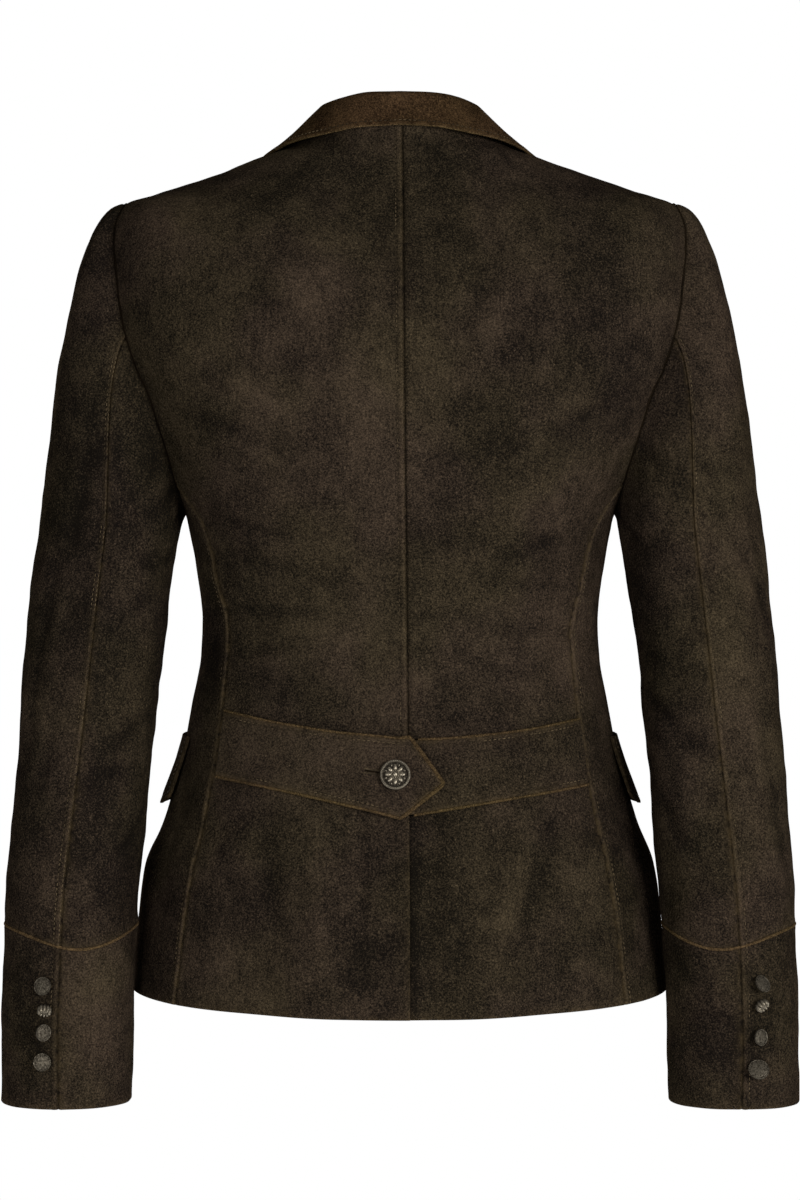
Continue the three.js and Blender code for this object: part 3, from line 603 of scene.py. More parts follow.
# Creases of the body, by the distance from the middle plane and the height. Left and right differ.
BACK_CREASES = {
    1: table(
        CREASE_COLUMNS,
        (118, -196, 24, 34, 7.5, -0.9),
        (104, -168, 30, 30, 9, 0.6),
        (98, -262, 14, 24, 6, -0.7),
        (92, -286, 8, 30, 7, -0.9),
        (86, -318, -4, 34, 6, -1.0),
        (96, -344, -12, 26, 5.5, -0.8),
        (62, -392, 2, 30, 6, -0.6),
        (40, -300, 8, 22, 7.5, -0.4),
        (84, -500, 80, 46, 10.5, -0.9),
        (52, -520, 84, 40, 9, 0.7),
        (24, -500, 92, 44, 9, -0.6),
        (70, -100, 60, 30, 12, 0.5),
    ),
    -1: table(
        CREASE_COLUMNS,
        (124, -188, 32, 30, 7.5, -0.9),
        (108, -210, 24, 36, 7.5, -0.7),
        (100, -272, 12, 24, 6, -0.9),
        (94, -300, 4, 32, 6, -0.7),
        (88, -330, -8, 30, 7, -1.0),
        (70, -356, -14, 24, 6, -0.6),
        (96, -486, 70, 40, 10.5, -1.1),
        (72, -516, 78, 48, 9, 0.8),
        (40, -540, 86, 36, 9, -0.8),
        (34, -388, 8, 26, 6, -0.5),
        (64, -120, 70, 34, 12, 0.5),
    ),
}
FRONT_CREASES = {
    1: table(
        CREASE_COLUMNS,
        (96, -282, 18, 34, 7.5, -0.9),
        (84, -322, 4, 30, 7, -0.8),
        (60, -345, -8, 30, 7, -0.6),
        (112, -190, 58, 34, 9, -0.8),
        (70, -500, 82, 50, 10.5, -0.9),
    ),
    -1: table(
        CREASE_COLUMNS,
        (90, -270, 22, 30, 7.5, -0.8),
        (96, -312, 6, 34, 7, -0.9),
        (56, -352, -6, 26, 7, -0.7),
        (108, -200, 50, 36, 9, -0.8),
        (60, -510, 96, 48, 10.5, -0.8),
    ),
}

# Creases of the sleeves, by the distance round from the turn's start and the height
SLEEVE_CREASES = {
    1: table(
        CREASE_COLUMNS,
        (112, -214, 48, 20, 7, -1.2),
        (124, -236, 38, 22, 6, -1.3),
        (132, -256, 24, 18, 5.5, -1.1),
        (118, -282, 12, 24, 6, -0.8),
        (100, -316, 30, 26, 7.5, -0.7),
        (54, -250, 82, 44, 7.5, -0.9),
        (38, -320, 86, 52, 7.5, -1.0),
        (26, -384, 88, 46, 9, 0.9),
        (48, -420, 84, 34, 7.5, -0.7),
        (110, -398, 26, 26, 7.5, -1.0),
        (96, -428, 14, 24, 7.5, -0.8),
        (120, -470, 40, 22, 7.5, -0.7),
        (60, -500, 70, 26, 7.5, 0.6),
        (190, -372, -10, 34, 9, -1.6),
        (196, -404, 6, 30, 7.5, -1.3),
        (204, -340, -24, 28, 7.5, -1.1),
        (-34, -360, 80, 50, 9, -0.8),
    ),
    -1: table(
        CREASE_COLUMNS,
        (104, -206, 58, 22, 7, -0.9),
        (62, -228, 52, 18, 6, -0.8),
        (50, -262, 60, 20, 6, -1.0),
        (36, -286, 66, 24, 6, -0.9),
        (24, -300, 84, 44, 7.5, -0.9),
        (126, -262, 26, 20, 6, -0.9),
        (116, -306, 40, 24, 7.5, -0.7),
        (100, -352, 20, 26, 7.5, -0.8),
        (114, -386, 32, 28, 7.5, -1.1),
        (92, -410, 16, 26, 7.5, -0.9),
        (44, -420, 84, 38, 7.5, 0.8),
        (30, -470, 80, 40, 9, -0.8),
        (108, -470, 60, 30, 7.5, -0.7),
        (194, -366, -8, 34, 9, -1.5),
        (200, -398, 8, 30, 7.5, -1.4),
        (206, -336, -22, 26, 7.5, -1.0),
        (-30, -340, 84, 46, 9, -0.8),
    ),
}

# Lighter and darker places as seen from behind: worn places and tone of the hide, and painted shade where
# the form turns from the light, such as the sleeves' inner sides, the folds beside the side seams, the right
# shoulder and the skirt: centre, half width, half height
TONES_BEHIND = table(
    TONE_COLUMNS,
    (19, -178, 27, 73, 0.3),
    (13, -370, 33, 30, 0.35),
    (46, -224, 46, 46, 0.25),
    (100, -204, 33, 40, 0.3),
    (86, -68, 40, 30, 0.1),
    (106, -111, 33, 33, -0.1),
    (153, -55, 27, 17, 0.15),
    (33, -15, 27, 13, -0.4),
    (-33, -18, 30, 20, -0.45),
    (-66, -38, 27, 17, 0.15),
    (-27, -144, 20, 53, 0.3),
    (-126, -131, 40, 53, -0.45),
    (-46, -204, 23, 40, -0.3),
    (-106, -337, 33, 40, 0.5),
    (-80, -370, 40, 17, 0.3),
    (-33, -284, 27, 40, -0.25),
    (46, -344, 37, 33, 0.35),
    (100, -310, 20, 40, -0.3),
    (60, -377, 33, 13, -0.25),
    (46, -496, 40, 40, -0.4),
    (80, -563, 40, 20, 0.3),
    (113, -530, 17, 40, 0.25),
    (-20, -510, 27, 53, -0.35),
    (-66, -510, 33, 40, 0.1),
    (-126, -496, 23, 27, 0.3),
    (20, -550, 27, 27, -0.4),
    (33, -570, 20, 10, 0.3),
    (-106, -563, 33, 17, 0.15),
    (129, -344, 13, 53, -0.5),
    (-146, -483, 17, 53, -0.5),
    (199, -68, 20, 40, -0.5),
    (187, -164, 8, 40, 0.3),
    (166, -224, 20, 46, -0.6),
    (216, -224, 20, 40, -0.45),
    (179, -284, 17, 40, 0.15),
    (209, -310, 13, 40, -0.5),
    (226, -390, 20, 40, 0.35),
    (183, -364, 17, 27, 0.25),
    (189, -417, 20, 33, -0.3),
    (236, -476, 17, 33, 0.3),
    (216, -506, 13, 13, 0.3),
    (186, -510, 17, 27, -0.35),
    (246, -589, 18, 46, -0.45),
    (202, -589, 19, 40, 0.85),
    (-209, -78, 13, 27, 0.3),
    (-178, -198, 13, 33, 0.4),
    (-166, -324, 17, 33, -0.5),
    (-226, -337, 19, 46, 0.6),
    (-193, -377, 17, 27, -0.4),
    (-199, -470, 17, 27, 0.3),
    (-239, -470, 13, 40, 0.35),
    (-193, -549, 17, 20, -0.4),
    (-200, -609, 20, 20, -0.2),
    (-242, -596, 20, 40, -0.25),
    (-119, -59, 45, 35, -0.4),
    (-50, -95, 45, 35, -0.2),
    (0, -520, 150, 60, -0.2),
)
TONES_AHEAD = table(
    TONE_COLUMNS,
    (60, -120, 40, 40, 0.3),
    (-70, -150, 36, 50, 0.25),
    (110, -210, 30, 50, -0.4),
    (-115, -180, 30, 60, -0.35),
    (80, -300, 40, 40, 0.35),
    (-60, -280, 30, 50, -0.3),
    (-90, -360, 40, 36, 0.35),
    (40, -400, 30, 40, -0.3),
    (90, -500, 40, 50, 0.2),
    (-80, -520, 44, 40, -0.35),
    (20, -540, 30, 30, 0.3),
    (215, -360, 22, 50, 0.4),
    (200, -250, 24, 40, -0.4),
    (-210, -280, 24, 40, -0.3),
    (-218, -420, 22, 50, 0.4),
    (225, -600, 24, 30, 0.3),
    (-228, -590, 24, 36, -0.3),
)


def tone_of(points, normals, seed):
    """How light or dark the surface is painted, from -1 to 1: given places of hide tone and painted shade,
    and a seeded unevenness.
    """
    behind = smoothstep(normals[..., 1], -0.25, 0.25)
    total = np.zeros(points.shape[:-1])
    for tones, share in ((TONES_BEHIND, behind), (TONES_AHEAD, 1 - behind)):
        for row in rows_of(tones):
            aside = (points[..., 0] - row["x"]) / row["wide"]
            rise = (points[..., 2] - row["z"]) / row["high"]
            total += share * row["tone"] * np.exp(-aside ** 2 - rise ** 2)
    return total + unevenness(points, TONE_WAVES, seed)


# Meshes from grids
def deselect():
    for obj in bpy.context.selected_objects:
        obj.select_set(False)


def make_active(obj):
    deselect()
    obj.select_set(True)
    bpy.context.view_layer.objects.active = obj


def apply_modifier(obj, kind, name, **values):
    modifier = obj.modifiers.new(name, kind)
    for key, value in values.items():
        setattr(modifier, key, value)
    make_active(obj)
    bpy.ops.object.modifier_apply(modifier=modifier.name)


def smooth(obj, degrees=40):
    make_active(obj)
    bpy.ops.object.shade_smooth_by_angle(angle=math.radians(degrees))


def paint(obj, name, values):
    attribute = obj.data.attributes.new(name, "FLOAT", "POINT")
    attribute.data.foreach_set("value", np.asarray(values, np.float32).ravel())


def grid_mesh(name, points, normals, flat):
    """A grid of cloth with its faces turned out and its UV map in metres of cloth."""
    rows, columns = points.shape[:2]
    deselect()
    bpy.ops.mesh.primitive_grid_add(x_subdivisions=columns - 1, y_subdivisions=rows - 1, size=1)
    obj = bpy.context.object
    obj.name = name
    mesh = obj.data
    mesh.name = name
    mesh.vertices.foreach_set("co", (points * MM).astype(np.float32).ravel())
    corners = np.zeros(len(mesh.loops), np.int64)
    mesh.loops.foreach_get("vertex_index", corners)
    mesh.uv_layers[0].data.foreach_set("uv", (flat.reshape(-1, 2)[corners] * MM).astype(np.float32).ravel())
    mesh.update()
    face_normals = np.zeros(len(mesh.polygons) * 3, np.float32)
    mesh.polygons.foreach_get("normal", face_normals)
    first_corner = np.zeros(len(mesh.polygons), np.int64)
    mesh.polygons.foreach_get("loop_start", first_corner)
    wanted = normals.reshape(-1, 3)[corners[first_corner]]
    if np.sum(face_normals.reshape(-1, 3) * wanted) < 0:
        mesh.flip_normals()
    return obj


def surface_normals(points, like):
    along_columns = np.gradient(points, axis=1)
    along_rows = np.gradient(points, axis=0)
    found = unit(np.cross(along_columns, along_rows))
    facing = np.sign(np.sum(found * like, axis=-1, keepdims=True))
    return found * np.where(facing == 0, 1, facing)


class Piece:
    """One cut of cloth laid out on a grid: its outer face, and how far each point lies from its edges."""

    def __init__(self, skin, normals):
        # Offsets of the painted tone: painted shade in creases, seam ditches, stitch grooves and beside the
        # vent, and a few differences of hide
        self.shade = 0
        self.skin = skin
        self.normals = normals
        self.across = walked(skin, axis=-2)
        self.from_last = self.across[:, -1:] - self.across
        self.up = walked(skin, axis=-3)
        self.from_top = self.up[-1:] - self.up
        self.points = skin

    def lift(self, amount):
        self.points = self.skin + self.normals * np.asarray(amount)[..., None]
        self.faces = surface_normals(self.points, self.normals)

    def mirror(self):
        for values in (self.skin, self.normals, self.points, self.faces):
            values[..., 0] *= -1

    def line_across(self, distance, from_last=False, rows=slice(None)):
        """Points and normals of the line that keeps a distance from the first or last edge."""
        runs = (self.from_last[:, ::-1] if from_last else self.across)[rows]
        points = (self.points[:, ::-1] if from_last else self.points)[rows]
        faces = (self.faces[:, ::-1] if from_last else self.faces)[rows]
        return line_at(runs, points, distance), unit(line_at(runs, faces, distance))

    def line_along(self, distance, from_top=False, columns=slice(None)):
        """The same along the lowest or highest row."""
        runs = (self.from_top[::-1] if from_top else self.up)[:, columns].T
        points = (self.points[::-1] if from_top else self.points)[:, columns].transpose(1, 0, 2)
        faces = (self.faces[::-1] if from_top else self.faces)[:, columns].transpose(1, 0, 2)
        return line_at(runs, points, distance), unit(line_at(runs, faces, distance))


def line_at(runs, values, distance):
    return np.array([read_at(distance, run, value) for run, value in zip(runs, values)])


# How much lighter or darker a piece is than the rest: the tone of its hide, and on the pocket flaps painted
# shade
PIECE_TONES_AND_SHADE = {
    "sleeve_upper_left": -0.5,
    "sleeve_under_left": -0.5,
    "sleeve_upper_right": 0.1,
    "sleeve_under_right": -0.25,
    "cuff_left": -0.15,
    "cuff_right": -0.3,
    "belt_left": 0.35,
    "belt_right": 0.15,
    "side_left": -0.15,
    "side_right": -0.15,
    "pocket_flap_left": -0.4,
    "pocket_flap_right": -0.4,
}


def area_of(points):
    """The area of a grid of points, in square metres."""
    up, over = points[1:, :-1] - points[:-1, :-1], points[:-1, 1:] - points[:-1, :-1]
    slant = points[1:, 1:] - points[:-1, :-1]
    halves = (np.linalg.norm(np.cross(*pair), axis=-1).sum() for pair in ((up, slant), (slant, over)))
    return float(sum(halves)) / 2 * MM * MM


def cloth(name, piece, material, wear, seed):
    """Makes a piece of cloth as a thin closed wall."""
    flat = np.stack([piece.across, piece.up], -1)
    obj = grid_mesh(name, piece.points, piece.faces, flat)
    # The tone holds the hide's lighter and darker places together with painted shade
    paint(obj, "tone", tone_of(piece.points, piece.faces, seed) + PIECE_TONES_AND_SHADE.get(name, 0) + piece.shade)
    paint(obj, "wear", wear)
    apply_modifier(obj, "SOLIDIFY", "Wall", thickness=SUEDE * MM, offset=-1, use_rim=True)
    smooth(obj)
    obj.data.materials.append(material)
    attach(obj, "root")
    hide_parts(name)
    round(area_of(piece.points), 4)


def signed_volume(mesh):
    mesh.calc_loop_triangles()
    corners = np.zeros(len(mesh.loop_triangles) * 3, np.int64)
    mesh.loop_triangles.foreach_get("vertices", corners)
    places = np.zeros(len(mesh.vertices) * 3, np.float32)
    mesh.vertices.foreach_get("co", places)
    a, b, c = places.reshape(-1, 3)[corners.reshape(-1, 3)].transpose(1, 0, 2)
    return float(np.sum(a * np.cross(b, c))) / 6


def closed_mesh(name, vertices, faces, material, degrees):
    """A closed skin of those points and faces, turned outwards and smoothed below that angle."""
    mesh = bpy.data.meshes.new(name)
    mesh.from_pydata((vertices * MM).tolist(), [], faces)
    mesh.update()
    obj = bpy.data.objects.new(name, mesh)
    bpy.context.scene.collection.objects.link(obj)
    if signed_volume(mesh) < 0:
        mesh.flip_normals()
    smooth(obj, degrees)
    obj.data.materials.append(material)
    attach(obj, "root")
    return obj


def band(here, there, sides):
    """Faces between two rings of points, given the number of the first point of each."""
    steps = [(k, (k + 1) % sides) for k in range(sides)]
    return [(here + k, here + after, there + after, there + k) for k, after in steps]


def caps(start, first_ring, end, last_ring, sides):
    """Faces that close the first and the last ring onto a point in the middle of each."""
    faces = []
    for k in range(sides):
        after = (k + 1) % sides
        faces.append((start, first_ring + after, first_ring + k))
        faces.append((end, last_ring + k, last_ring + after))
    return faces


def strand_mesh(name, rings, closed, material, stands_for=()):
    """A closed skin through rings of points, with its ends capped unless it runs round into itself."""
    count, sides = rings.shape[:2]
    vertices = rings.reshape(-1, 3)
    centre = rings.mean(axis=1)
    faces = []
    for i in range(count if closed else count - 1):
        faces += band(i * sides, (i + 1) % count * sides, sides)
    if not closed:
        vertices = np.concatenate([vertices, centre[:1], centre[-1:]])
        faces += caps(count * sides, 0, count * sides + 1, (count - 1) * sides, sides)
    obj = closed_mesh(name, vertices, faces, material, 60)
    if stands_for:
        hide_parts(*stands_for)


def resample(line, normals, step, closed=False):
    if closed:
        line = np.concatenate([line, line[:1]])
        normals = np.concatenate([normals, normals[:1]])
    run = walked(line)
    count = max(4, round(run[-1] / step))
    places = np.linspace(0, run[-1], count + 1)
    places = places[:-1] if closed else places
    return read_at(places, run, line), unit(read_at(places, run, normals))


def roll_along(line, normals, wide, high, low, closed=False, step=2.0, sides=12):
    """Rings of a narrow roll of leather along a line: its half width, and how far it goes up and down."""
    shares = walked(line) / walked(line)[-1]
    line, normals = resample(line, normals, step, closed)
    if closed:
        along = np.roll(line, -1, axis=0) - np.roll(line, 1, axis=0)
    else:
        along = np.gradient(line, axis=0)
    aside = unit(np.cross(normals, unit(along)))
    here = np.linspace(0, 1, len(line))
    breadth = np.interp(here, shares, np.broadcast_to(np.asarray(wide, float), shares.shape))
    turns = max(1, round(len(line) * step / 33))
    phase = here * 2 * math.pi
    uneven = 1 + 0.05 * np.sin(phase * turns) + 0.04 * np.sin(phase * (turns * 2 + 3))
    rings = []
    for k in range(sides):
        around = 2 * math.pi * k / sides
        over = math.sin(around)
        height = over * (high if over > 0 else low)
        rings.append(line + aside * (breadth * uneven * math.cos(around))[:, None] + normals * height)
    return np.stack(rings, axis=1)


# Thread
STITCH_PITCH = 3.3
STITCH_LENGTH = 2.5
THREAD = 0.3
STITCH_RINGS = ((-0.62, 0.85), (0.0, 1.0), (0.62, 0.85))
STITCH_SIDES = 5


def stitch_mesh(name, rows, material, pitch=STITCH_PITCH, length=STITCH_LENGTH, radius=THREAD, seed=5):
    """All stitches of some seams as one mesh: short bent threads whose ends go into the leather."""
    random = np.random.default_rng(seed)
    centres, aims, ups = [], [], []
    for line, normals in rows:
        run = walked(line)
        count = max(1, round(run[-1] / pitch))
        places = (np.arange(count) + 0.5) * run[-1] / count
        ahead, behind = read_at(places + length / 2, run, line), read_at(places - length / 2, run, line)
        centres.append(read_at(places, run, line))
        aims.append(unit(ahead - behind))
        ups.append(unit(read_at(places, run, normals)))
    centre, aim, up = (np.concatenate(values) for values in (centres, aims, ups))
    aside = unit(np.cross(up, aim))
    aim = unit(aim + aside * random.normal(0, 0.05, (len(aim), 1)))
    aside = unit(np.cross(up, aim))
    half = length / 2 * random.uniform(0.9, 1.06, (len(aim), 1))
    layers = [centre - aim * half - up * radius * 0.9]
    for place, size in STITCH_RINGS:
        sag = radius * (0.55 - 0.9 * place ** 2)
        for k in range(STITCH_SIDES):
            around = 2 * math.pi * k / STITCH_SIDES
            offset = aside * math.cos(around) + up * math.sin(around)
            layers.append(centre + aim * half * place + up * sag + offset * radius * size)
    layers.append(centre + aim * half - up * radius * 0.9)
    vertices = np.stack(layers, axis=1)
    each = vertices.shape[1]
    last_ring = each - 1 - STITCH_SIDES
    faces = caps(0, 1, each - 1, last_ring, STITCH_SIDES)
    quads = []
    for ring in range(1, last_ring, STITCH_SIDES):
        quads += band(ring, ring + STITCH_SIDES, STITCH_SIDES)
    starts = (np.arange(len(centre)) * each)[:, None, None]
    triangles = (np.array(faces)[None] + starts).reshape(-1, 3).tolist()
    squares = (np.array(quads)[None] + starts).reshape(-1, 4).tolist()
    closed_mesh(name, vertices.reshape(-1, 3), triangles + squares, material, 80)


# Shader helpers
def colour(red, green, blue):
    """A colour given as it looks on a screen, from 0 to 255, in the renderer's own numbers."""
    channels = [value / 255 for value in (red, green, blue)]
    linear = [c / 12.92 if c <= 0.04045 else ((c + 0.055) / 1.055) ** 2.4 for c in channels]
    return (*linear, 1.0)


class Nodes:
    """Short calls that add and join the nodes of one tree."""

    def __init__(self, tree):
        self.tree = tree

    def add(self, kind, values=None, **settings):
        node = self.tree.nodes.new(kind)
        for key, value in settings.items():
            setattr(node, key, value)
        for key, value in (values or {}).items():
            self.feed(node.inputs[key], value)
        return node

    def feed(self, socket, value):
        """Joins a socket to another node's output, or gives it a plain value."""
        if isinstance(value, bpy.types.NodeSocket):
            self.tree.links.new(value, socket)
        else:
            socket.default_value = value

    def noise(self, vector, scale, detail=3.0, roughness=0.55):
        values = {"Vector": vector, "Scale": scale, "Detail": detail, "Roughness": roughness}
        return self.add("ShaderNodeTexNoise", values).outputs["Fac"]

    def maths(self, operation, first, second=0.0, clamp=False):
        node = self.add("ShaderNodeMath", {0: first, 1: second}, operation=operation, use_clamp=clamp)
        return node.outputs[0]

    def ramp(self, value, low, high, to_low=0.0, to_high=1.0):
        values = {"Value": value, "From Min": low, "From Max": high, "To Min": to_low, "To Max": to_high}
        return self.add("ShaderNodeMapRange", values, interpolation_type="SMOOTHSTEP").outputs["Result"]

    def mix(self, share, first, second, blend="MIX"):
        node = self.add("ShaderNodeMix", {0: share}, data_type="RGBA", blend_type=blend)
        self.feed(node.inputs[6], first)
        self.feed(node.inputs[7], second)
        return node.outputs[2]

    def total(self, *values):
        result = values[0]
        for value in values[1:]:
            result = self.maths("ADD", result, value)
        return result

    def stretched(self, vector, scale):
        return self.add("ShaderNodeMapping", {"Vector": vector, "Scale": scale}).outputs["Vector"]


def group(name, inputs, outputs):
    """An empty shader node group with those sockets, and its ends."""
    tree = bpy.data.node_groups.new(name, "ShaderNodeTree")
    for label, kind, value in inputs:
        socket = tree.interface.new_socket(label, in_out="INPUT", socket_type=kind)
        if value is not None:
            socket.default_value = value
    for label, kind in outputs:
        tree.interface.new_socket(label, in_out="OUTPUT", socket_type=kind)
    nodes = Nodes(tree)
    start = nodes.add("NodeGroupInput").outputs
    end = nodes.add("NodeGroupOutput").inputs
    return tree, nodes, start, end


FLOAT, COLOUR, VECTOR = "NodeSocketFloat", "NodeSocketColor", "NodeSocketVector"

# How strongly the painted tone shows, and how tones turn into a share of the light colour
TONE_STRENGTH = 0.9
SHARE_SLOPE = 0.27
SHARE_MIDDLE = 0.385
SHARE_POWER = 1.4
OLIVE_DRIFT = (0.98, 1.0, 0.93, 1)
PLUM_DRIFT = (1.0, 0.96, 1.02, 1)


def suede_nap():
    """Brushed suede: clouds of lighter and darker nap, short strokes, fine grain, and worn edges."""
    tree, nodes, start, end = group(
        "Suede nap",
        [("Vector", VECTOR, None), ("Tone", FLOAT, 0.0), ("Wear", FLOAT, 0.0),
         ("Dark", COLOUR, (0.01, 0.01, 0.01, 1)), ("Light", COLOUR, (0.1, 0.1, 0.1, 1)),
         ("Worn", COLOUR, (0.2, 0.2, 0.1, 1)), ("Clouds", FLOAT, 1.0)],
        [("Color", COLOUR), ("Roughness", FLOAT), ("Height", FLOAT)],
    )
    place = start["Vector"]
    broad = nodes.noise(place, 14.0, 3.0, 0.55)
    patches = nodes.noise(place, 52.0, 4.0, 0.6)
    strokes = nodes.noise(nodes.stretched(place, (1.0, 1.0, 0.4)), 260.0, 3.0, 0.65)
    grain = nodes.noise(place, 900.0, 2.0, 0.65)
    specks = nodes.noise(place, 900.0, 1.0, 0.5)
    clouds = nodes.total(nodes.ramp(broad, 0.3, 0.7, -0.3, 0.3), nodes.ramp(patches, 0.3, 0.7, -0.34, 0.34))
    clouds = nodes.maths("MULTIPLY", clouds, start["Clouds"])
    fine = nodes.total(
        nodes.ramp(strokes, 0.3, 0.7, -0.24, 0.24),
        nodes.ramp(grain, 0.25, 0.75, -1.35, 1.35),
        nodes.ramp(specks, 0.68, 0.8, 0.0, 1.2),
    )
    tone = nodes.total(clouds, fine, nodes.maths("MULTIPLY", start["Tone"], TONE_STRENGTH))
    share = nodes.maths("MULTIPLY_ADD", tone, SHARE_SLOPE, clamp=True)
    share.node.inputs[2].default_value = SHARE_MIDDLE
    body = nodes.mix(nodes.maths("POWER", share, SHARE_POWER), start["Dark"], start["Light"])
    # The hide drifts from olive to plum
    drift = nodes.ramp(nodes.noise(place, 11.0, 2.0, 0.5), 0.38, 0.62)
    olive = nodes.mix(1.0, body, OLIVE_DRIFT, "MULTIPLY")
    plum = nodes.mix(1.0, body, PLUM_DRIFT, "MULTIPLY")
    body = nodes.mix(drift, olive, plum)
    wear_spots = nodes.ramp(nodes.noise(place, 210.0, 3.0, 0.65), 0.3, 0.68)
    worn = nodes.maths("MULTIPLY", start["Wear"], wear_spots, clamp=True)
    made = nodes.mix(worn, body, start["Worn"])
    height = nodes.maths("ADD", nodes.maths("MULTIPLY", strokes, 0.6), nodes.maths("MULTIPLY", grain, 0.4))
    height = nodes.maths("ADD", height, nodes.maths("MULTIPLY", patches, 0.5))
    tree.links.new(made, end["Color"])
    tree.links.new(nodes.ramp(share, 0.0, 1.0, 0.98, 0.84), end["Roughness"])
    tree.links.new(height, end["Height"])
    return tree


def thread_twist():
    """Twisted thread: fine slanting ridges, with dirt in patches."""
    tree, nodes, start, end = group(
        "Thread twist",
        [("Vector", VECTOR, None), ("Clean", COLOUR, (0.3, 0.2, 0.1, 1)),
         ("Dirty", COLOUR, (0.1, 0.1, 0.1, 1))],
        [("Color", COLOUR), ("Height", FLOAT)],
    )
    dirt = nodes.ramp(nodes.noise(start["Vector"], 46.0, 3.0, 0.6), 0.32, 0.58)
    twist = nodes.noise(nodes.stretched(start["Vector"], (1.0, 1.0, 2.6)), 2600.0, 1.0, 0.5)
    tree.links.new(nodes.mix(dirt, start["Clean"], start["Dirty"]), end["Color"])
    tree.links.new(twist, end["Height"])
    return tree


def metal_age():
    """Antique silver: dark in its hollows and rubbed bright on what stands out."""
    tree, nodes, start, end = group(
        "Metal age",
        [("Vector", VECTOR, None), ("Rubbed", FLOAT, 0.5), ("Bright", COLOUR, (0.5, 0.5, 0.4, 1)),
         ("Dark", COLOUR, (0.05, 0.05, 0.05, 1))],
        [("Color", COLOUR), ("Roughness", FLOAT), ("Height", FLOAT)],
    )
    spots = nodes.noise(start["Vector"], 900.0, 4.0, 0.65)
    share = nodes.maths("ADD", start["Rubbed"], nodes.ramp(spots, 0.3, 0.7, -0.22, 0.22), clamp=True)
    tree.links.new(nodes.mix(share, start["Dark"], start["Bright"]), end["Color"])
    tree.links.new(nodes.ramp(share, 0.0, 1.0, 0.7, 0.36), end["Roughness"])
    tree.links.new(spots, end["Height"])
    return tree


SUEDE_NAP = suede_nap()
THREAD_TWIST = thread_twist()
METAL_AGE = metal_age()


def new_material(name):
    material = bpy.data.materials.new(name)
    material.use_nodes = True
    material.node_tree.nodes.clear()
    nodes = Nodes(material.node_tree)
    shader = nodes.add("ShaderNodeBsdfPrincipled")
    output = nodes.add("ShaderNodeOutputMaterial", {"Surface": shader.outputs["BSDF"]})
    output.location = (400, 0)
    place = nodes.add("ShaderNodeTexCoord").outputs["Object"]
    return material, nodes, shader, place


def attribute_of(nodes, name):
    return nodes.add("ShaderNodeAttribute", attribute_name=name).outputs["Fac"]


def finish_material(nodes, shader, source, strength, distance):
    links = nodes.tree.links
    links.new(source.outputs["Color"], shader.inputs["Base Color"])
    if "Roughness" in source.outputs:
        links.new(source.outputs["Roughness"], shader.inputs["Roughness"])
    values = {"Height": source.outputs["Height"], "Strength": strength, "Distance": distance}
    bump = nodes.add("ShaderNodeBump", values)
    links.new(bump.outputs["Normal"], shader.inputs["Normal"])


def suede_material(name, dark, light, worn, clouds=1.0):
    material, nodes, shader, place = new_material(name)
    values = {"Vector": place, "Tone": attribute_of(nodes, "tone"), "Wear": attribute_of(nodes, "wear"),
              "Dark": dark, "Light": light, "Worn": worn, "Clouds": clouds}
    nap = nodes.add("ShaderNodeGroup", values, node_tree=SUEDE_NAP)
    shader.inputs["Specular IOR Level"].default_value = 0.0
    finish_material(nodes, shader, nap, 0.5, 0.0006)
    return material


def grouped_material(name, tree, values, finish, strength, attribute=None):
    """A material whose colour and relief come from one node group, with plain values for its finish."""
    material, nodes, shader, place = new_material(name)
    source = nodes.add("ShaderNodeGroup", {"Vector": place, **values}, node_tree=tree)
    if attribute:
        nodes.feed(source.inputs["Rubbed"], attribute_of(nodes, attribute))
    for key, value in finish.items():
        nodes.feed(shader.inputs[key], value)
    finish_material(nodes, shader, source, strength, 0.0001)
    return material


DARK_SUEDE = suede_material("dark_suede", colour(20, 17, 14), colour(80, 68, 53), colour(84, 70, 48))
BROWN_SUEDE = suede_material("brown_suede", colour(26, 18, 11), colour(88, 68, 45), colour(90, 71, 47), 1.1)
TAN_LEATHER = suede_material("tan_leather", colour(46, 37, 24), colour(112, 92, 62),
                             colour(118, 98, 68), 0.9)
BEIGE_THREAD = grouped_material(
    "beige_thread", THREAD_TWIST, {"Clean": colour(104, 89, 66), "Dirty": colour(46, 38, 27)},
    {"Roughness": 0.8, "Specular IOR Level": 0.1}, 0.4)
OLD_SILVER = grouped_material(
    "old_silver", METAL_AGE, {"Bright": colour(156, 146, 128), "Dark": colour(38, 33, 26)},
    {"Metallic": 0.9}, 0.3, "rubbed")
# Painted shadow: a near-black material for the buttonhole's slit and for the seam allowances inside the
# armholes, where shade falls
PAINTED_SHADOW = grouped_material(
    "buttonhole_shadow", THREAD_TWIST, {"Clean": colour(16, 12, 8), "Dirty": colour(26, 20, 13)},
    {"Roughness": 0.95, "Specular IOR Level": 0.0}, 0.2)


# The back, sides and fronts
def centre_back(z):
    """The centre back seam drifts a little to the wearer's right on its way down."""
    return lerp(-6.6, -2, smoothstep(z, -583, 0))


ACROSS_SAMPLES = 70
ARMHOLE_SAMPLES = 84
SHOULDER_SAMPLES = 40


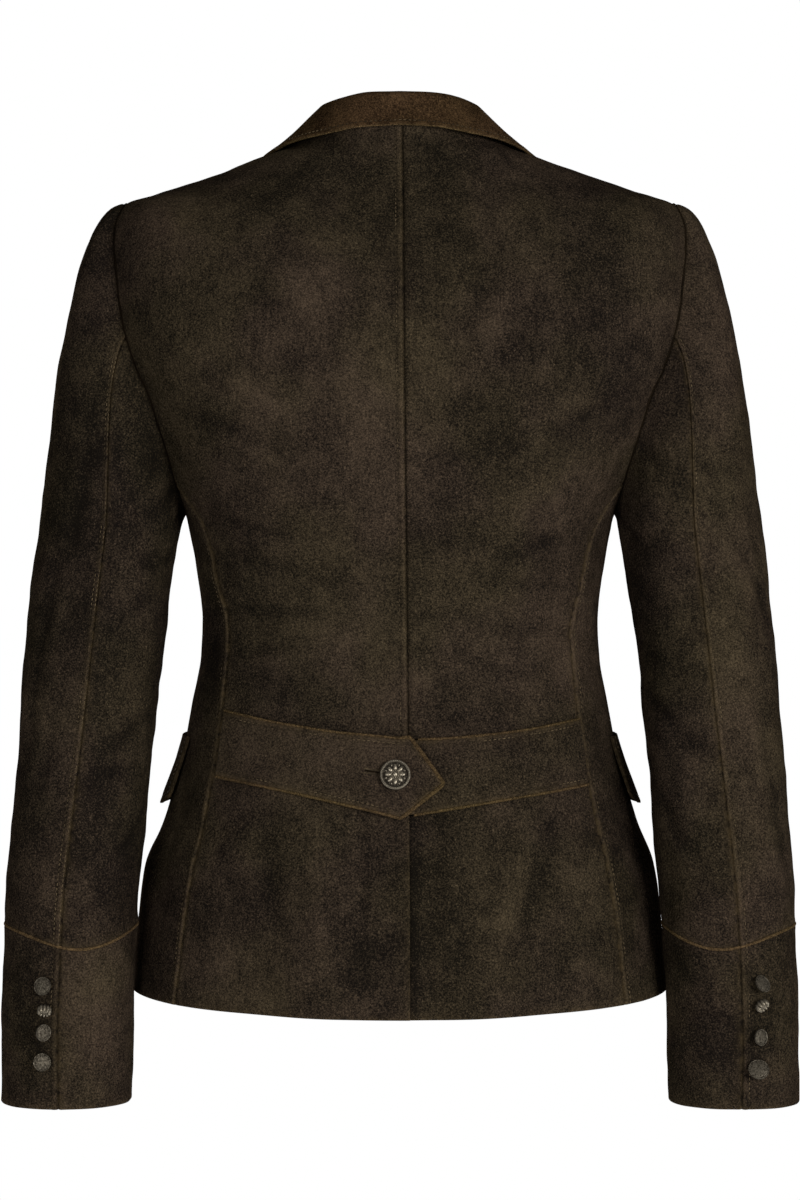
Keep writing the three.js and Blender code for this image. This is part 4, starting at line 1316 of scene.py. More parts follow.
def body_grid(edge_angle, seam_angle, turn_side, near_edge):
    """Angles and heights of a back or front, row by row from the hem along the armhole to the neck."""
    junction = armhole_height(SIDE_TURN)
    across = np.linspace(0, 1, ACROSS_SAMPLES)
    rows = []
    low_edge = edge_angle(np.array([float(HEM_AT_SIDES - HEM_DROP)]))[0]
    hem_angles = lerp(low_edge, seam_angle(HEM_AT_SIDES), across)
    for share in shares_between(junction - HEM_AT_SIDES, PLAIN_EDGE, (0, 1.5)):
        z = lerp(hem_height(hem_angles), junction, share)
        rows.append((lerp(edge_angle(z), seam_angle(z), across), z))
    for turn in np.linspace(SIDE_TURN, 0, ARMHOLE_SAMPLES)[1:]:
        z = np.full(across.shape, armhole_height(turn))
        rows.append((lerp(edge_angle(z), armhole_angle(turn_side * turn), across), z))
    shoulder = rows[-1][0]
    for share in np.linspace(0, 1, SHOULDER_SAMPLES)[1:]:
        rows.append((shoulder, lerp(ARMHOLE_TOP, neck_height(shoulder), share)))
    angles, heights = (np.array(values) for values in zip(*rows))
    return measured(angles, heights, torso_skin, near_edge, PLAIN_EDGE)


def torso_piece(angles, heights):
    return Piece(torso_skin(angles, heights), torso_normal(angles, heights))


def below_armhole(heights):
    return 1 - smoothstep(heights, UNDERARM - 25, UNDERARM)


def body_creases(points, side):
    across, heights = points[..., 0], points[..., 2]
    behind = smoothstep(points[..., 1] - torso_middle(heights), -10, 10)
    ahead = creases(FRONT_CREASES[side], across, heights)
    return CREASE_DEPTH * lerp(ahead, creases(BACK_CREASES[side], across, heights), behind)


def body_lift(points, side):
    """How far the cloth of the body stands off its smooth form. The points are on the +X half."""
    return unevenness(points * (side, 1, 1), BODY_WAVES, 1) + body_creases(points, side)


def calm_at_armhole(piece):
    """Lets the body's relief die away towards the armhole, where the sleeve is sewn on."""
    above = smoothstep(piece.skin[..., 2], UNDERARM - 20, UNDERARM)
    return lerp(1, smoothstep(piece.from_last, 0, CALM_AT_SEAM), above)


def wear_near(distance, strength, reach=2.2):
    return strength * np.exp(-distance / reach)


def hem_relief(angles, heights):
    return edge_relief(heights - hem_height(angles)) * (heights < HEM_ZONE)


def hem_wear(angles, heights):
    return wear_near(np.maximum(heights - hem_height(angles), 0), 0.35)


VENT_FLARE = 0.9
VENT_SHADE = 0.9
UNDERLAP_EDGE = (18, 36)


def back_piece(side, seed):
    def edge_x(z):
        seam = side * centre_back(z)
        if side > 0:
            return seam
        return lerp(seam, -VENT_UNDERLAP, 1 - smoothstep(z, VENT_TOP - 12, VENT_TOP))

    near = STITCHED_EDGE if side > 0 else PLAIN_EDGE
    angles, heights = body_grid(lambda z: angle_at(edge_x(z), z, False), side_back_seam, 1, near)
    piece = torso_piece(angles, heights)
    lift = body_lift(piece.skin, side) * calm_at_armhole(piece)
    shade = CREASE_SHADE * body_creases(piece.skin, side) * calm_at_armhole(piece)
    shade += seam_shade(piece.from_last)
    stitched = smoothstep(heights, VENT_TOP, VENT_TOP + 15)
    shade += seam_shade(piece.across, side > 0) * stitched
    seam = seam_relief(piece.across, piece.up, seed, stitched=side > 0, deep=1.3)
    plain = seam_relief(piece.across, piece.up, seed) if side < 0 else edge_relief(piece.across)
    lift += lerp(plain, seam, stitched)
    lift += seam_relief(piece.from_last, piece.up, seed + 3)
    lift += hem_relief(angles, heights)
    in_vent = 1 - smoothstep(heights, VENT_TOP + 12, VENT_TOP + 38)
    if side < 0:
        lift -= OVERLAP_DROP * (1 - smoothstep(piece.skin[..., 0], *UNDERLAP_EDGE)) * in_vent
        beside = piece.skin[..., 0] - side * centre_back(heights)
        shade -= VENT_SHADE * in_vent * bell(beside - 2, 4)
    else:
        lift += VENT_FLARE * in_vent * (1 - smoothstep(piece.across, 0, 16))
    seam_wear = wear_near(piece.across, 0.25 if side > 0 else 0.1)
    side_wear = wear_near(piece.from_last, 0.55) * lerp(0.35, 1, below_armhole(heights))
    wear = seam_wear + side_wear + hem_wear(angles, heights)
    piece.shade = shade
    piece.lift(lift)
    return piece, wear


def side_piece(side, seed):
    junction = armhole_height(SIDE_TURN)
    turns = np.linspace(SIDE_TURN, 360 - SIDE_TURN, 60)
    tops = armhole_height(turns)
    shares = (armhole_angle(turns) - side_back_seam(tops)) / (side_front_seam(tops) - side_back_seam(tops))
    hem_angles = lerp(side_back_seam(HEM_AT_SIDES), side_front_seam(HEM_AT_SIDES), shares)
    rows = []
    for share in shares_between(junction - HEM_AT_SIDES, PLAIN_EDGE, PLAIN_EDGE):
        level = lerp(hem_height(hem_angles), junction, share)
        near_top = np.clip(1 - (1 - share) * 3.2, 0, 1)
        z = level + (tops - junction) * near_top ** 2
        rows.append((lerp(side_back_seam(z), side_front_seam(z), shares), z))
    angles, heights = (np.array(values) for values in zip(*rows))
    angles, heights = measured(angles, heights, torso_skin, STITCHED_EDGE, PLAIN_EDGE)
    piece = torso_piece(angles, heights)
    lift = body_lift(piece.skin, side) * smoothstep(piece.from_top, 0, CALM_AT_SEAM)
    piece.shade = CREASE_SHADE * body_creases(piece.skin, side) + seam_shade(piece.across, True)
    piece.shade += seam_shade(piece.from_last)
    lift += seam_relief(piece.across, piece.up, seed, stitched=True)
    lift += seam_relief(piece.from_last, piece.up, seed + 3)
    lift += hem_relief(angles, heights)
    lift += seam_relief(piece.from_top, piece.across, seed + 4)
    wear = wear_near(piece.across, 0.6) + wear_near(piece.from_last, 0.3)
    wear += hem_wear(angles, heights)
    piece.lift(lift)
    return piece, wear


def roll_x(z):
    """The front's edge above the break point follows the roll line."""
    return lerp(-FRONT_LAP, ROLL_TOP_X, (z - BREAK_POINT) / (ROLL_TOP_Z - BREAK_POINT))


def front_piece(side, seed):
    def edge_x(z):
        foot = hem_height(180) + FRONT_CORNER - z
        cut = FRONT_CORNER - np.sqrt(np.maximum(FRONT_CORNER ** 2 - np.maximum(foot, 0) ** 2, 0))
        return np.where(z > BREAK_POINT, np.minimum(roll_x(z), ROLL_TOP_X), -FRONT_LAP + cut)

    angles, heights = body_grid(lambda z: angle_at(edge_x(z), z, True), side_front_seam, -1, STITCHED_EDGE)
    piece = torso_piece(angles, heights)
    lift = body_lift(piece.skin, side) * calm_at_armhole(piece)
    piece.shade = CREASE_SHADE * body_creases(piece.skin, side) * calm_at_armhole(piece)
    piece.shade += seam_shade(piece.from_last) - 0.5 * bell(piece.across - TOPSTITCH, 0.6)
    lift += edge_relief(piece.across) - 0.42 * bell(piece.across - TOPSTITCH, 0.85)
    lift += seam_relief(piece.from_last, piece.up, seed + 3)
    lift += hem_relief(angles, heights)
    if side > 0:
        covered = -np.maximum(np.minimum(roll_x(heights), ROLL_TOP_X), -FRONT_LAP)
        near_edge = 1 - smoothstep(piece.skin[..., 0] - covered, 6, 26)
        lift -= OVERLAP_DROP * near_edge * (1 - smoothstep(heights, -160, -130))
    wear = wear_near(piece.across, 0.5) + wear_near(piece.from_last, 0.35)
    wear += hem_wear(angles, heights)
    piece.lift(lift)
    return piece, wear


sewn = {}


def sew(name, make, side, seed, material=DARK_SUEDE):
    """Cuts a piece, turns it to its side of the body, and keeps its grid for the rows of stitches."""
    piece, wear = make(side, seed)
    if side < 0:
        piece.mirror()
    cloth(name, piece, material, wear, seed)
    sewn[name] = piece


sew("back_left", back_piece, 1, 11)
sew("back_right", back_piece, -1, 21)
sew("side_left", side_piece, 1, 31)
sew("side_right", side_piece, -1, 41)
sew("front_left", front_piece, 1, 51)
sew("front_right", front_piece, -1, 61)


# Sleeves and cuffs
SLEEVE_RADIUS = 50
CALM_AT_CUFF = 10


def sleeve_grid(first_turn, last_turn, first_down, last_down, near_last):
    """Turns and downs of a sleeve piece, each row at one share of the way down."""
    width = math.radians(last_turn - first_turn) * SLEEVE_RADIUS
    turns = first_turn + (last_turn - first_turn) * shares_between(width, PLAIN_EDGE, near_last)
    samples = np.linspace(0, 1, 150)
    downs = np.array([lerp(first_down(turn), last_down(turn), samples) for turn in turns])
    lines = np.repeat(turns[:, None], len(samples), axis=1)
    placed_turns, placed_downs = measured(lines, downs, sleeve_skin, PLAIN_EDGE, PLAIN_EDGE)
    return placed_turns.T, placed_downs.T


def sleeve_creases(points, turns, side):
    total = np.zeros(turns.shape)
    for lap in (-1, 0, 1):
        across = (np.radians(turns) + 2 * math.pi * lap) * SLEEVE_RADIUS
        total += creases(SLEEVE_CREASES[side], across, points[..., 2])
    return CREASE_DEPTH * total


def sleeve_lift(points, turns, side):
    """How far the cloth of a sleeve stands off its smooth form. The points are on the +X half."""
    return unevenness(points * (side, 1, 1), SLEEVE_WAVES, 4) + sleeve_creases(points, turns, side)


def cuff_seam_down(turn):
    return down_at(cuff_seam_height(turn))


def sleeve_piece(first_turn, last_turn, stitched, side, seed):
    near_last = STITCHED_EDGE if stitched else PLAIN_EDGE
    turns, downs = sleeve_grid(first_turn, last_turn, lambda turn: 0.0, cuff_seam_down, near_last)
    piece = Piece(sleeve_skin(turns, downs), sleeve_normal(turns, np.maximum(downs, 0.012)))
    piece.shade = CREASE_SHADE * sleeve_creases(piece.skin, turns, side) + seam_shade(piece.across)
    piece.shade += seam_shade(piece.from_last, stitched) + 0.6 * seam_shade(piece.up)
    lift = sleeve_lift(piece.skin, turns, side)
    lift *= smoothstep(piece.up, 0, CALM_AT_SEAM) * smoothstep(piece.from_top, 0, CALM_AT_CUFF)
    lift += seam_relief(piece.across, piece.up, seed)
    lift += seam_relief(piece.from_last, piece.up, seed + 3, stitched=stitched)
    lift += seam_relief(piece.up, piece.across, seed + 5, deep=0.5)
    lift += seam_relief(piece.from_top, piece.across, seed + 6)
    wear = wear_near(piece.across, 0.45) + wear_near(piece.from_last, 0.5) + wear_near(piece.from_top, 0.4)
    wear += wear_near(piece.up, 0.2)
    piece.lift(lift)
    return piece, wear


def upper_sleeve(side, seed):
    return sleeve_piece(FRONT_SEAM_TURN - 360, BACK_SEAM_TURN, True, side, seed)


def under_sleeve(side, seed):
    return sleeve_piece(BACK_SEAM_TURN, FRONT_SEAM_TURN, False, side, seed)


def cuff_piece(side, seed):
    turns, downs = sleeve_grid(BACK_SEAM_TURN, BACK_SEAM_TURN + 360, cuff_seam_down,
                               lambda turn: down_at(CUFF_END), STITCHED_EDGE)
    piece = Piece(sleeve_skin(turns, downs), sleeve_normal(turns, downs))
    lift = sleeve_lift(piece.skin, turns, side) * smoothstep(piece.up, 0, CALM_AT_CUFF)
    lift += seam_relief(piece.across, piece.up, seed)
    lift += seam_relief(piece.from_last, piece.up, seed + 3, stitched=True)
    lift += seam_relief(piece.up, piece.across, seed + 4)
    lift += edge_relief(piece.from_top)
    piece.shade = seam_shade(piece.across) + seam_shade(piece.from_last, True)
    if side > 0:
        piece.shade += 0.2 * np.exp(-piece.across / 45) - 0.45 * np.exp(-piece.from_last / 45)
    wear = wear_near(piece.across, 0.45) + wear_near(piece.from_last, 0.3) + wear_near(piece.from_top, 0.35)
    piece.lift(lift)
    return piece, wear


for (side_name, side), first_seed in zip(SIDES, (101, 201)):
    sew(f"sleeve_upper_{side_name}", upper_sleeve, side, first_seed)
    sew(f"sleeve_under_{side_name}", under_sleeve, side, first_seed + 10)
    sew(f"cuff_{side_name}", cuff_piece, side, first_seed + 20)


# Collar and lapels
ROLL_INSIDE = (1.6, 3.2)
ROLL_OUTSIDE = (3.4, 2.6)

collar_form = curves(COLLAR, "angle")


def collar_section(angle):
    """Points of the collar's visible face from the neck seam over the roll to the edge of the leaf."""
    around = abs(angle)
    read = {name: float(value(around)) for name, value in collar_form.items()}
    seam = torso(around, float(neck_height(around)) + SEAM_GAP * 5, -SOLID_WALL)
    roll = np.array([read["roll_x"], read["roll_y"], read["roll_z"]])
    edge = np.array([read["edge_x"], read["edge_y"], read["edge_z"]])
    edge = lift_off(edge, SOLID_WALL + ON_TOP + 0.6)
    across = unit((edge - seam) * (1, 1, 0))
    inside = roll - across * ROLL_INSIDE[0] - (0, 0, ROLL_INSIDE[1])
    outside = roll + across * ROLL_OUTSIDE[0] - (0, 0, ROLL_OUTSIDE[1])
    points = np.array([seam, lerp(seam, inside, 0.55), inside, roll, outside, lerp(outside, edge, 0.36),
                       lerp(outside, edge, 0.7), edge])
    points[4:] = lift_off(points[4:], SOLID_WALL + ON_TOP + 0.4)
    return smooth_through(points, 1.7)


def smooth_through(points, step):
    """A soft curve through a few points, set out at even distances."""
    padded = np.concatenate([[2 * points[0] - points[1]], points, [2 * points[-1] - points[-2]]])
    dense = []
    for a, b, c, d in zip(padded, padded[1:], padded[2:], padded[3:]):
        for t in np.linspace(0, 1, 12, endpoint=False):
            dense.append(hermite(b, (c - a) / 2, c, (d - b) / 2, t))
    dense = np.array([*dense, points[-1]])
    run = walked(dense)
    near_edge = run[-1] - np.array(COLLAR_EDGE)
    places = np.concatenate([np.linspace(0, near_edge[0] - step, 30), near_edge])
    return read_at(places, run, dense)


COLLAR_STITCH = 3.2
COLLAR_ROLL = 1.1
COLLAR_STATIONS = 150
COLLAR_EDGE = (6.4, 4.6, 3.8, 3.2, 2.6, 2, 1.5, 1.1, 0.7, 0.3, 0)
LAID_ON_STITCH = 5
LAID_ON_EDGE = (0, 0.4, 1, 2, 3, 4, 4.7, 5.4, 6.4, 8)


def collar_piece(side, seed):
    stations = np.linspace(-COLLAR_END, COLLAR_END, COLLAR_STATIONS)
    skin = np.array([collar_section(angle) * (side if angle >= 0 else -side, 1, 1) for angle in stations])
    along_stations = np.gradient(skin, axis=0)
    along_section = np.gradient(skin, axis=1)
    normals = unit(np.cross(along_section, along_stations))
    on_leaf = (COLLAR_STATIONS // 2, -8)
    if np.dot(normals[on_leaf], skin[on_leaf] * (1, 1, 0)) < 0:
        normals = -normals
    piece = Piece(skin, normals)
    lift = unevenness(skin, COLLAR_WAVES, seed) * smoothstep(piece.across, 0, 12)
    lift += edge_relief(piece.from_last) - 0.35 * bell(piece.from_last - COLLAR_STITCH, 0.8)
    lift += 0.25 * (1 - smoothstep(piece.from_last, 3.2, 4.8)) * (1 - bell(piece.from_last, 1))
    wear = wear_near(piece.from_last, 0.5, 2) + 0.25 * bell(piece.across - piece.across[:, 12:13], 5)
    piece.shade = -0.6 * bell(piece.from_last - COLLAR_STITCH, 0.6)
    piece.shade -= 0.7 * bell(piece.from_last - COLLAR_ROLL, 0.5)
    piece.lift(lift)
    return piece, wear


def laid_on_piece(skin, normals, stitch, side, seed, sides=("low", "high")):
    """A small piece that lies on the body, with a line of stitching inside its edges."""
    piece = Piece(skin, normals)
    edges = {"low": piece.up, "high": piece.from_top, "first": piece.across, "last": piece.from_last}
    lift = body_lift(skin, side) + unevenness(skin, SMALL_PIECE_WAVES, seed)
    wear = np.zeros(lift.shape)
    for name in sides:
        lift += 0.6 * edge_relief(edges[name]) - 0.3 * bell(edges[name] - stitch, 0.8)
        wear += wear_near(edges[name], 0.5)
        piece.shade = piece.shade - 0.5 * bell(edges[name] - stitch, 0.6)
    piece.lift(lift)
    return piece, wear


def lapel_piece(side, seed):
    crossing = lerp(BREAK_POINT, ROLL_TOP_Z, FRONT_LAP / (FRONT_LAP + ROLL_TOP_X))
    if side < 0:
        foot = ((-FRONT_LAP + 1, BREAK_POINT + 3), (-FRONT_LAP + 5, BREAK_POINT + 3))
    else:
        foot = ((2.5, crossing + 2), (LAPEL_FOOT_X, LAPEL_FOOT_Z))
    across = shares_between(70, (0, 1.5, 3), LAID_ON_EDGE, 2.6)[None]
    up = shares_between(200, (0, 1.5, 3), LAID_ON_EDGE, 3)[:, None]
    x = lerp(lerp(foot[0][0], foot[1][0], across), curve(LAPEL_TOP, "across", "x")(across), up)
    z = lerp(lerp(foot[0][1], foot[1][1], across), curve(LAPEL_TOP, "across", "z")(across), up)
    x = x + LAPEL_BELLY * np.sin(math.pi * up) * across
    base = ON_TOP + SOLID_WALL + LAPEL_ROLL_LIFT * (1 - across) ** 2 + 0 * up
    angles = angle_at(x, z, True)
    skin = torso_skin(angles, z) + torso_normal(angles, z) * base[..., None]
    return laid_on_piece(skin, torso_normal(angles, z), LAID_ON_STITCH, side, seed, ("last", "high"))


sew("collar", collar_piece, 1, 301, BROWN_SUEDE)
sew("lapel_left", lapel_piece, 1, 311, BROWN_SUEDE)
sew("lapel_right", lapel_piece, -1, 321, BROWN_SUEDE)


# Pocket flaps
def flap_piece(side, seed):
    across = shares_between(150, LAID_ON_EDGE, LAID_ON_EDGE)[None]
    rise = shares_between(51, LAID_ON_EDGE, (0, 2), 2.6)[:, None]
    angle = lerp(FLAP_REAR, FLAP_FORE, across) + 0 * rise
    from_end = np.minimum(across, 1 - across) * 8
    rounding = 0.55 * FLAP_CORNER * (1 - rise) ** 3 * np.maximum(1 - from_end, 0) ** 2
    z = lerp(FLAP_BOTTOM + FLAP_SLANT * across + rounding, FLAP_TOP + FLAP_SLANT * across, rise)
    base = ON_TOP + SOLID_WALL + FLAP_FLARE * (1 - rise) * (1 - 0.6 * across)
    skin = torso_skin(angle, z) + torso_normal(angle, z) * base[..., None]
    return laid_on_piece(skin, torso_normal(angle, z), LAID_ON_STITCH, side, seed, ("low", "first", "last"))


sew("pocket_flap_left", flap_piece, 1, 401)
sew("pocket_flap_right", flap_piece, -1, 411)


# Half belt with its bindings and buttonhole
def belt_edge(name, x):
    middle, slope, bend = BELT_EDGES[name]
    return middle + slope * np.abs(x) + bend * x * x


def belt_raise(x):
    return BELT_RAISE * (1 - smoothstep(x, 20, 44))


def leant(x, z):
    return x - BELT_LEAN * (z - BELT_LEAN_MIDDLE) * smoothstep(x, 60, BELT_LEFT_END)


def pointed_edge(name, corner, x):
    """An edge of the left half, which slants from its corner to the belt's point."""
    slanted = lerp(BELT_TIP_Z, belt_edge(name, corner), (x - BELT_TIP_X) / (corner - BELT_TIP_X))
    return np.where(x >= corner, belt_edge(name, x), slanted)


def left_belt_top(x):
    return pointed_edge("left_top", BELT_TOP_CORNER, x)


def left_belt_bottom(x):
    return pointed_edge("left_bottom", BELT_BOTTOM_CORNER, x)


def right_belt_top(x):
    return belt_edge("right_top", x)


def right_belt_bottom(x):
    return belt_edge("right_bottom", x)


def on_back(x, z, lift):
    angles = angle_at(x, z, False)
    normals = torso_normal(angles, z)
    return torso_skin(angles, z) + normals * np.asarray(lift)[..., None], normals


BELT_ROWS = (0, 0.4, 1, 1.9, 2.6, 3.2, 3.8, 4.6, 6)


def belt_piece(xs, top_at, bottom_at, raise_at, side, seed):
    heights = top_at(xs) - bottom_at(xs)
    rise = spread(heights, BELT_ROWS, BELT_ROWS, BELT_CELLS).T
    z = bottom_at(xs)[None] + rise
    x = leant(np.repeat(xs[None], len(rise), axis=0), z)
    skin, normals = on_back(x, z, BELT_BASE + raise_at(x))
    return laid_on_piece(skin, normals, BELT_STITCH, side, seed)


def belt_xs(start, corners, end):
    stops = [start, *corners, end]
    parts = []
    for here, there in zip(stops, stops[1:]):
        count = max(3, round(abs(here - there) / BELT_STEP))
        parts.append(np.linspace(here, there, count, endpoint=False))
    return np.concatenate([*parts, [end]])


def nothing(x):
    return np.zeros(np.shape(x))


def belt_binding(name, line, wide, raise_at, side):
    """A tan leather edge rolled over the belt's rim. The line runs with the belt on its right."""
    x, z = line.T
    along = unit(np.stack([np.gradient(x), np.gradient(z)], -1))
    outer_x, outer_z = x - along[:, 1] * wide * 0.6, z + along[:, 0] * wide * 0.6
    points, normals = on_back(outer_x, outer_z, BELT_BASE - BINDING_LOW + raise_at(x))
    points = points + normals * body_lift(points, side)[:, None]
    points, normals = points * (side, 1, 1), normals * (side, 1, 1)
    rings = roll_along(points, normals, wide * 0.85, BINDING_LOW + 0.6, BINDING_LOW)
    strand_mesh(name, rings, False, TAN_LEATHER, (name,))


def edge_line(xs, height_at):
    return np.stack([leant(xs, height_at(xs)), height_at(xs)], -1)


def left_belt(side, seed):
    near_tip = lerp(BELT_TOP_CORNER, BELT_TIP_X, 0.97)
    xs = belt_xs(BELT_LEFT_END, (44, BELT_BOTTOM_CORNER, BELT_TOP_CORNER), near_tip)
    return belt_piece(xs, left_belt_top, left_belt_bottom, belt_raise, side, seed)


def right_belt(side, seed):
    xs = belt_xs(BELT_RIGHT_END, (40,), BELT_RIGHT_UNDER)
    return belt_piece(xs, right_belt_top, right_belt_bottom, nothing, side, seed)


sew("belt_left", left_belt, 1, 501)
sew("belt_right", right_belt, -1, 511)

to_tip = belt_xs(BELT_LEFT_END, (BELT_BOTTOM_CORNER, BELT_TOP_CORNER), BELT_TIP_X)
left_rim = np.concatenate([edge_line(to_tip, left_belt_bottom), edge_line(to_tip[::-1], left_belt_top)[1:]])
left_wide = lerp(BINDING_AT_TIP, BINDING_WIDE, smoothstep(left_rim[:, 0], -5, 3))
belt_binding("belt_left_binding", left_rim, left_wide, belt_raise, 1)
top_xs = np.linspace(12, BELT_RIGHT_END, 60)
bottom_xs = np.linspace(BELT_RIGHT_END, 9, 60)
top_rim, bottom_rim = edge_line(top_xs, right_belt_top), edge_line(bottom_xs, right_belt_bottom)
belt_binding("belt_right_binding_top", top_rim, np.full(60, BINDING_WIDE), nothing, -1)
belt_binding("belt_right_binding_bottom", bottom_rim, np.full(60, BINDING_WIDE), nothing, -1)


# Pipings of the cuffs, the armholes' seam allowances in painted shade, and the turned edge of the collar
def cuff_piping(side_name, side):
    turns = np.linspace(BACK_SEAM_TURN, BACK_SEAM_TURN + 360, 150)[:-1]
    downs = down_at(cuff_seam_height(turns))
    normals = sleeve_normal(turns, downs) * (side, 1, 1)
    line = sleeve_skin(turns, downs) * (side, 1, 1) + normals * 0.1
    name = f"cuff_piping_{side_name}"
    rings = roll_along(line, normals, 1.0, 0.75, 0.5, closed=True)
    strand_mesh(name, rings, True, TAN_LEATHER, (name,))


def armhole_shadow_seam(side_name, side):
    """The sleeve's seam allowance, which closes the armhole from inside, made near-black as painted shade in
    the armhole's ditch.
    """
    turns = np.linspace(0, 360, 240)[:-1]
    angles, heights = armhole_angle(turns), armhole_height(turns)
    line = torso(angles, heights, np.full(turns.shape, SEAM_GAP / 2)) * (side, 1, 1)
    normals = torso_normal(angles, heights) * (side, 1, 1)
    rings = roll_along(line, normals, 1.4, 0.7, 2.2, closed=True)
    strand_mesh(f"armhole_shadow_seam_{side_name}", rings, True, PAINTED_SHADOW)


for make_strand in (cuff_piping, armhole_shadow_seam):
    for side_name, side in SIDES:
        make_strand(side_name, side)

collar_line, collar_normals = sewn["collar"].line_across(0, from_last=True)
collar_rings = roll_along(collar_line - collar_normals * 0.8, collar_normals, 0.6, 1.0, 1.0)
strand_mesh("collar_edge", collar_rings, False, TAN_LEATHER)


# Sewing
def rows_above(piece, height):
    return piece.skin[:, 0, 2] > height


def columns_deeper(piece, depth):
    return piece.up[-1] > depth


body_rows = [
    sewn["back_left"].line_across(TOPSTITCH, rows=rows_above(sewn["back_left"], -405)),
    *(sewn[f"side_{side}"].line_across(TOPSTITCH) for side in ("left", "right")),
    *(sewn[f"front_{side}"].line_across(TOPSTITCH) for side in ("left", "right")),
]
stitch_mesh("stitches_body", body_rows, BEIGE_THREAD)

sleeve_rows = [
    sewn["sleeve_upper_left"].line_across(TOPSTITCH, from_last=True),
    sewn["sleeve_upper_left"].line_across(1.3, from_last=True),
    sewn["sleeve_upper_right"].line_across(TOPSTITCH, from_last=True),
    *(sewn[f"cuff_{side}"].line_across(TOPSTITCH, from_last=True) for side in ("left", "right")),
]
stitch_mesh("stitches_sleeves", sleeve_rows, BEIGE_THREAD, seed=6)

trim_rows = [sewn["collar"].line_across(COLLAR_STITCH, from_last=True)]
for side, _ in SIDES:
    lapel, flap, belt = sewn[f"lapel_{side}"], sewn[f"pocket_flap_{side}"], sewn[f"belt_{side}"]
    trim_rows.append(lapel.line_across(LAID_ON_STITCH, from_last=True))
    trim_rows.append(lapel.line_along(LAID_ON_STITCH, from_top=True))
    trim_rows.append(flap.line_along(LAID_ON_STITCH))
    trim_rows.append(flap.line_across(LAID_ON_STITCH))
    trim_rows.append(flap.line_across(LAID_ON_STITCH, from_last=True))
    columns = columns_deeper(belt, 10)
    trim_rows.append(belt.line_along(BELT_STITCH, columns=columns))
    trim_rows.append(belt.line_along(BELT_STITCH, from_top=True, columns=columns))
stitch_mesh("stitches_trim", trim_rows, BEIGE_THREAD, seed=7)

# The buttonhole: a slit between two lips of close stitches
LIP_STITCHES = 23
hole_x = np.linspace(*BUTTONHOLE_X, LIP_STITCHES)
hole_z = np.linspace(*BUTTONHOLE_Z, LIP_STITCHES)
hole, hole_normals = on_back(hole_x, hole_z, BELT_BASE + belt_raise(hole_x))
hole = hole + hole_normals * body_lift(hole, 1)[:, None]
# The slit is a near-black roll: painted shadow inside the cut
strand_mesh("buttonhole_slit", roll_along(hole, hole_normals, 0.7, 0.4, 0.4, step=1), False, PAINTED_SHADOW)
hole_aside = unit(np.cross(hole_normals, np.gradient(hole, axis=0)))
lip_rows = []
for lip in (-1, 1):
    for place, normal, aside in zip(hole, hole_normals, hole_aside):
        ends = [place + aside * lip * 0.7, place + aside * lip * 2.3]
        lip_rows.append((np.array(ends), np.array([normal, normal])))
stitch_mesh("buttonhole_lips", lip_rows, BEIGE_THREAD, pitch=2, length=1.9, radius=0.38, seed=8)


# Metal buttons
def enter_edit(obj, picked):
    """Opens a mesh for editing with the faces picked that pass a test."""
    make_active(obj)
    for polygon in obj.data.polygons:
        polygon.select = picked(polygon)
    for group_of in (obj.data.edges, obj.data.vertices):
        for element in group_of:
            element.select = False
    bpy.ops.object.mode_set(mode="EDIT")
    bpy.ops.mesh.select_mode(type="FACE")


def leave_edit():
    bpy.ops.object.mode_set(mode="OBJECT")


def upward(polygon):
    return polygon.normal.z > 0.9


def turned_disc(radius, low, thick, steps, sides=40):
    """A round plate whose top is shaped by a chain of insets, each with its width and rise."""
    deselect()
    bpy.ops.mesh.primitive_cylinder_add(vertices=sides, radius=radius * MM, depth=thick * MM,
                                        location=(0, 0, (low + thick / 2) * MM))
    disc = bpy.context.object
    bpy.ops.object.transform_apply(location=True, rotation=True, scale=True)
    enter_edit(disc, upward)
    for width, rise in steps:
        bpy.ops.mesh.inset(thickness=width * MM, depth=rise * MM)
    leave_edit()
    apply_modifier(disc, "BEVEL", "Soft edges", width=0.16 * MM, segments=2, limit_method="ANGLE",
                   angle_limit=math.radians(35))
    return disc


def bead(sizes, place, segments=10, rings=6, turn=0.0):
    """A rounded grain of metal with its half sizes."""
    deselect()
    bpy.ops.mesh.primitive_uv_sphere_add(segments=segments, ring_count=rings, radius=1)
    made = bpy.context.object
    turned = Matrix.Rotation(turn, 4, "Z")
    size = Matrix.Diagonal((*(value * MM for value in sizes), 1))
    made.data.transform(turned @ Matrix.Translation(Vector(place) * MM) @ size)
    return made


def ring_of(count, sizes, place, segments=10, rings=6, start=0.0):
    return [bead(sizes, place, segments, rings, start + 2 * math.pi * i / count) for i in range(count)]


def joined(name, pieces, dark_below, bright_above, most=1.0):
    deselect()
    for piece in pieces:
        piece.select_set(True)
    bpy.context.view_layer.objects.active = pieces[0]
    bpy.ops.object.join()
    made = bpy.context.object
    made.name = name
    heights = np.array([vertex.co.z for vertex in made.data.vertices]) / MM
    sideways = np.array([math.hypot(vertex.co.x, vertex.co.y) for vertex in made.data.vertices]) / MM
    rubbed = smoothstep(heights, dark_below, bright_above)
    rubbed = np.maximum(rubbed, 0.55 * (sideways > sideways.max() - 0.3))
    paint(made, "rubbed", rubbed * most)
    smooth(made, 50)
    made.data.materials.append(OLD_SILVER)
    return made


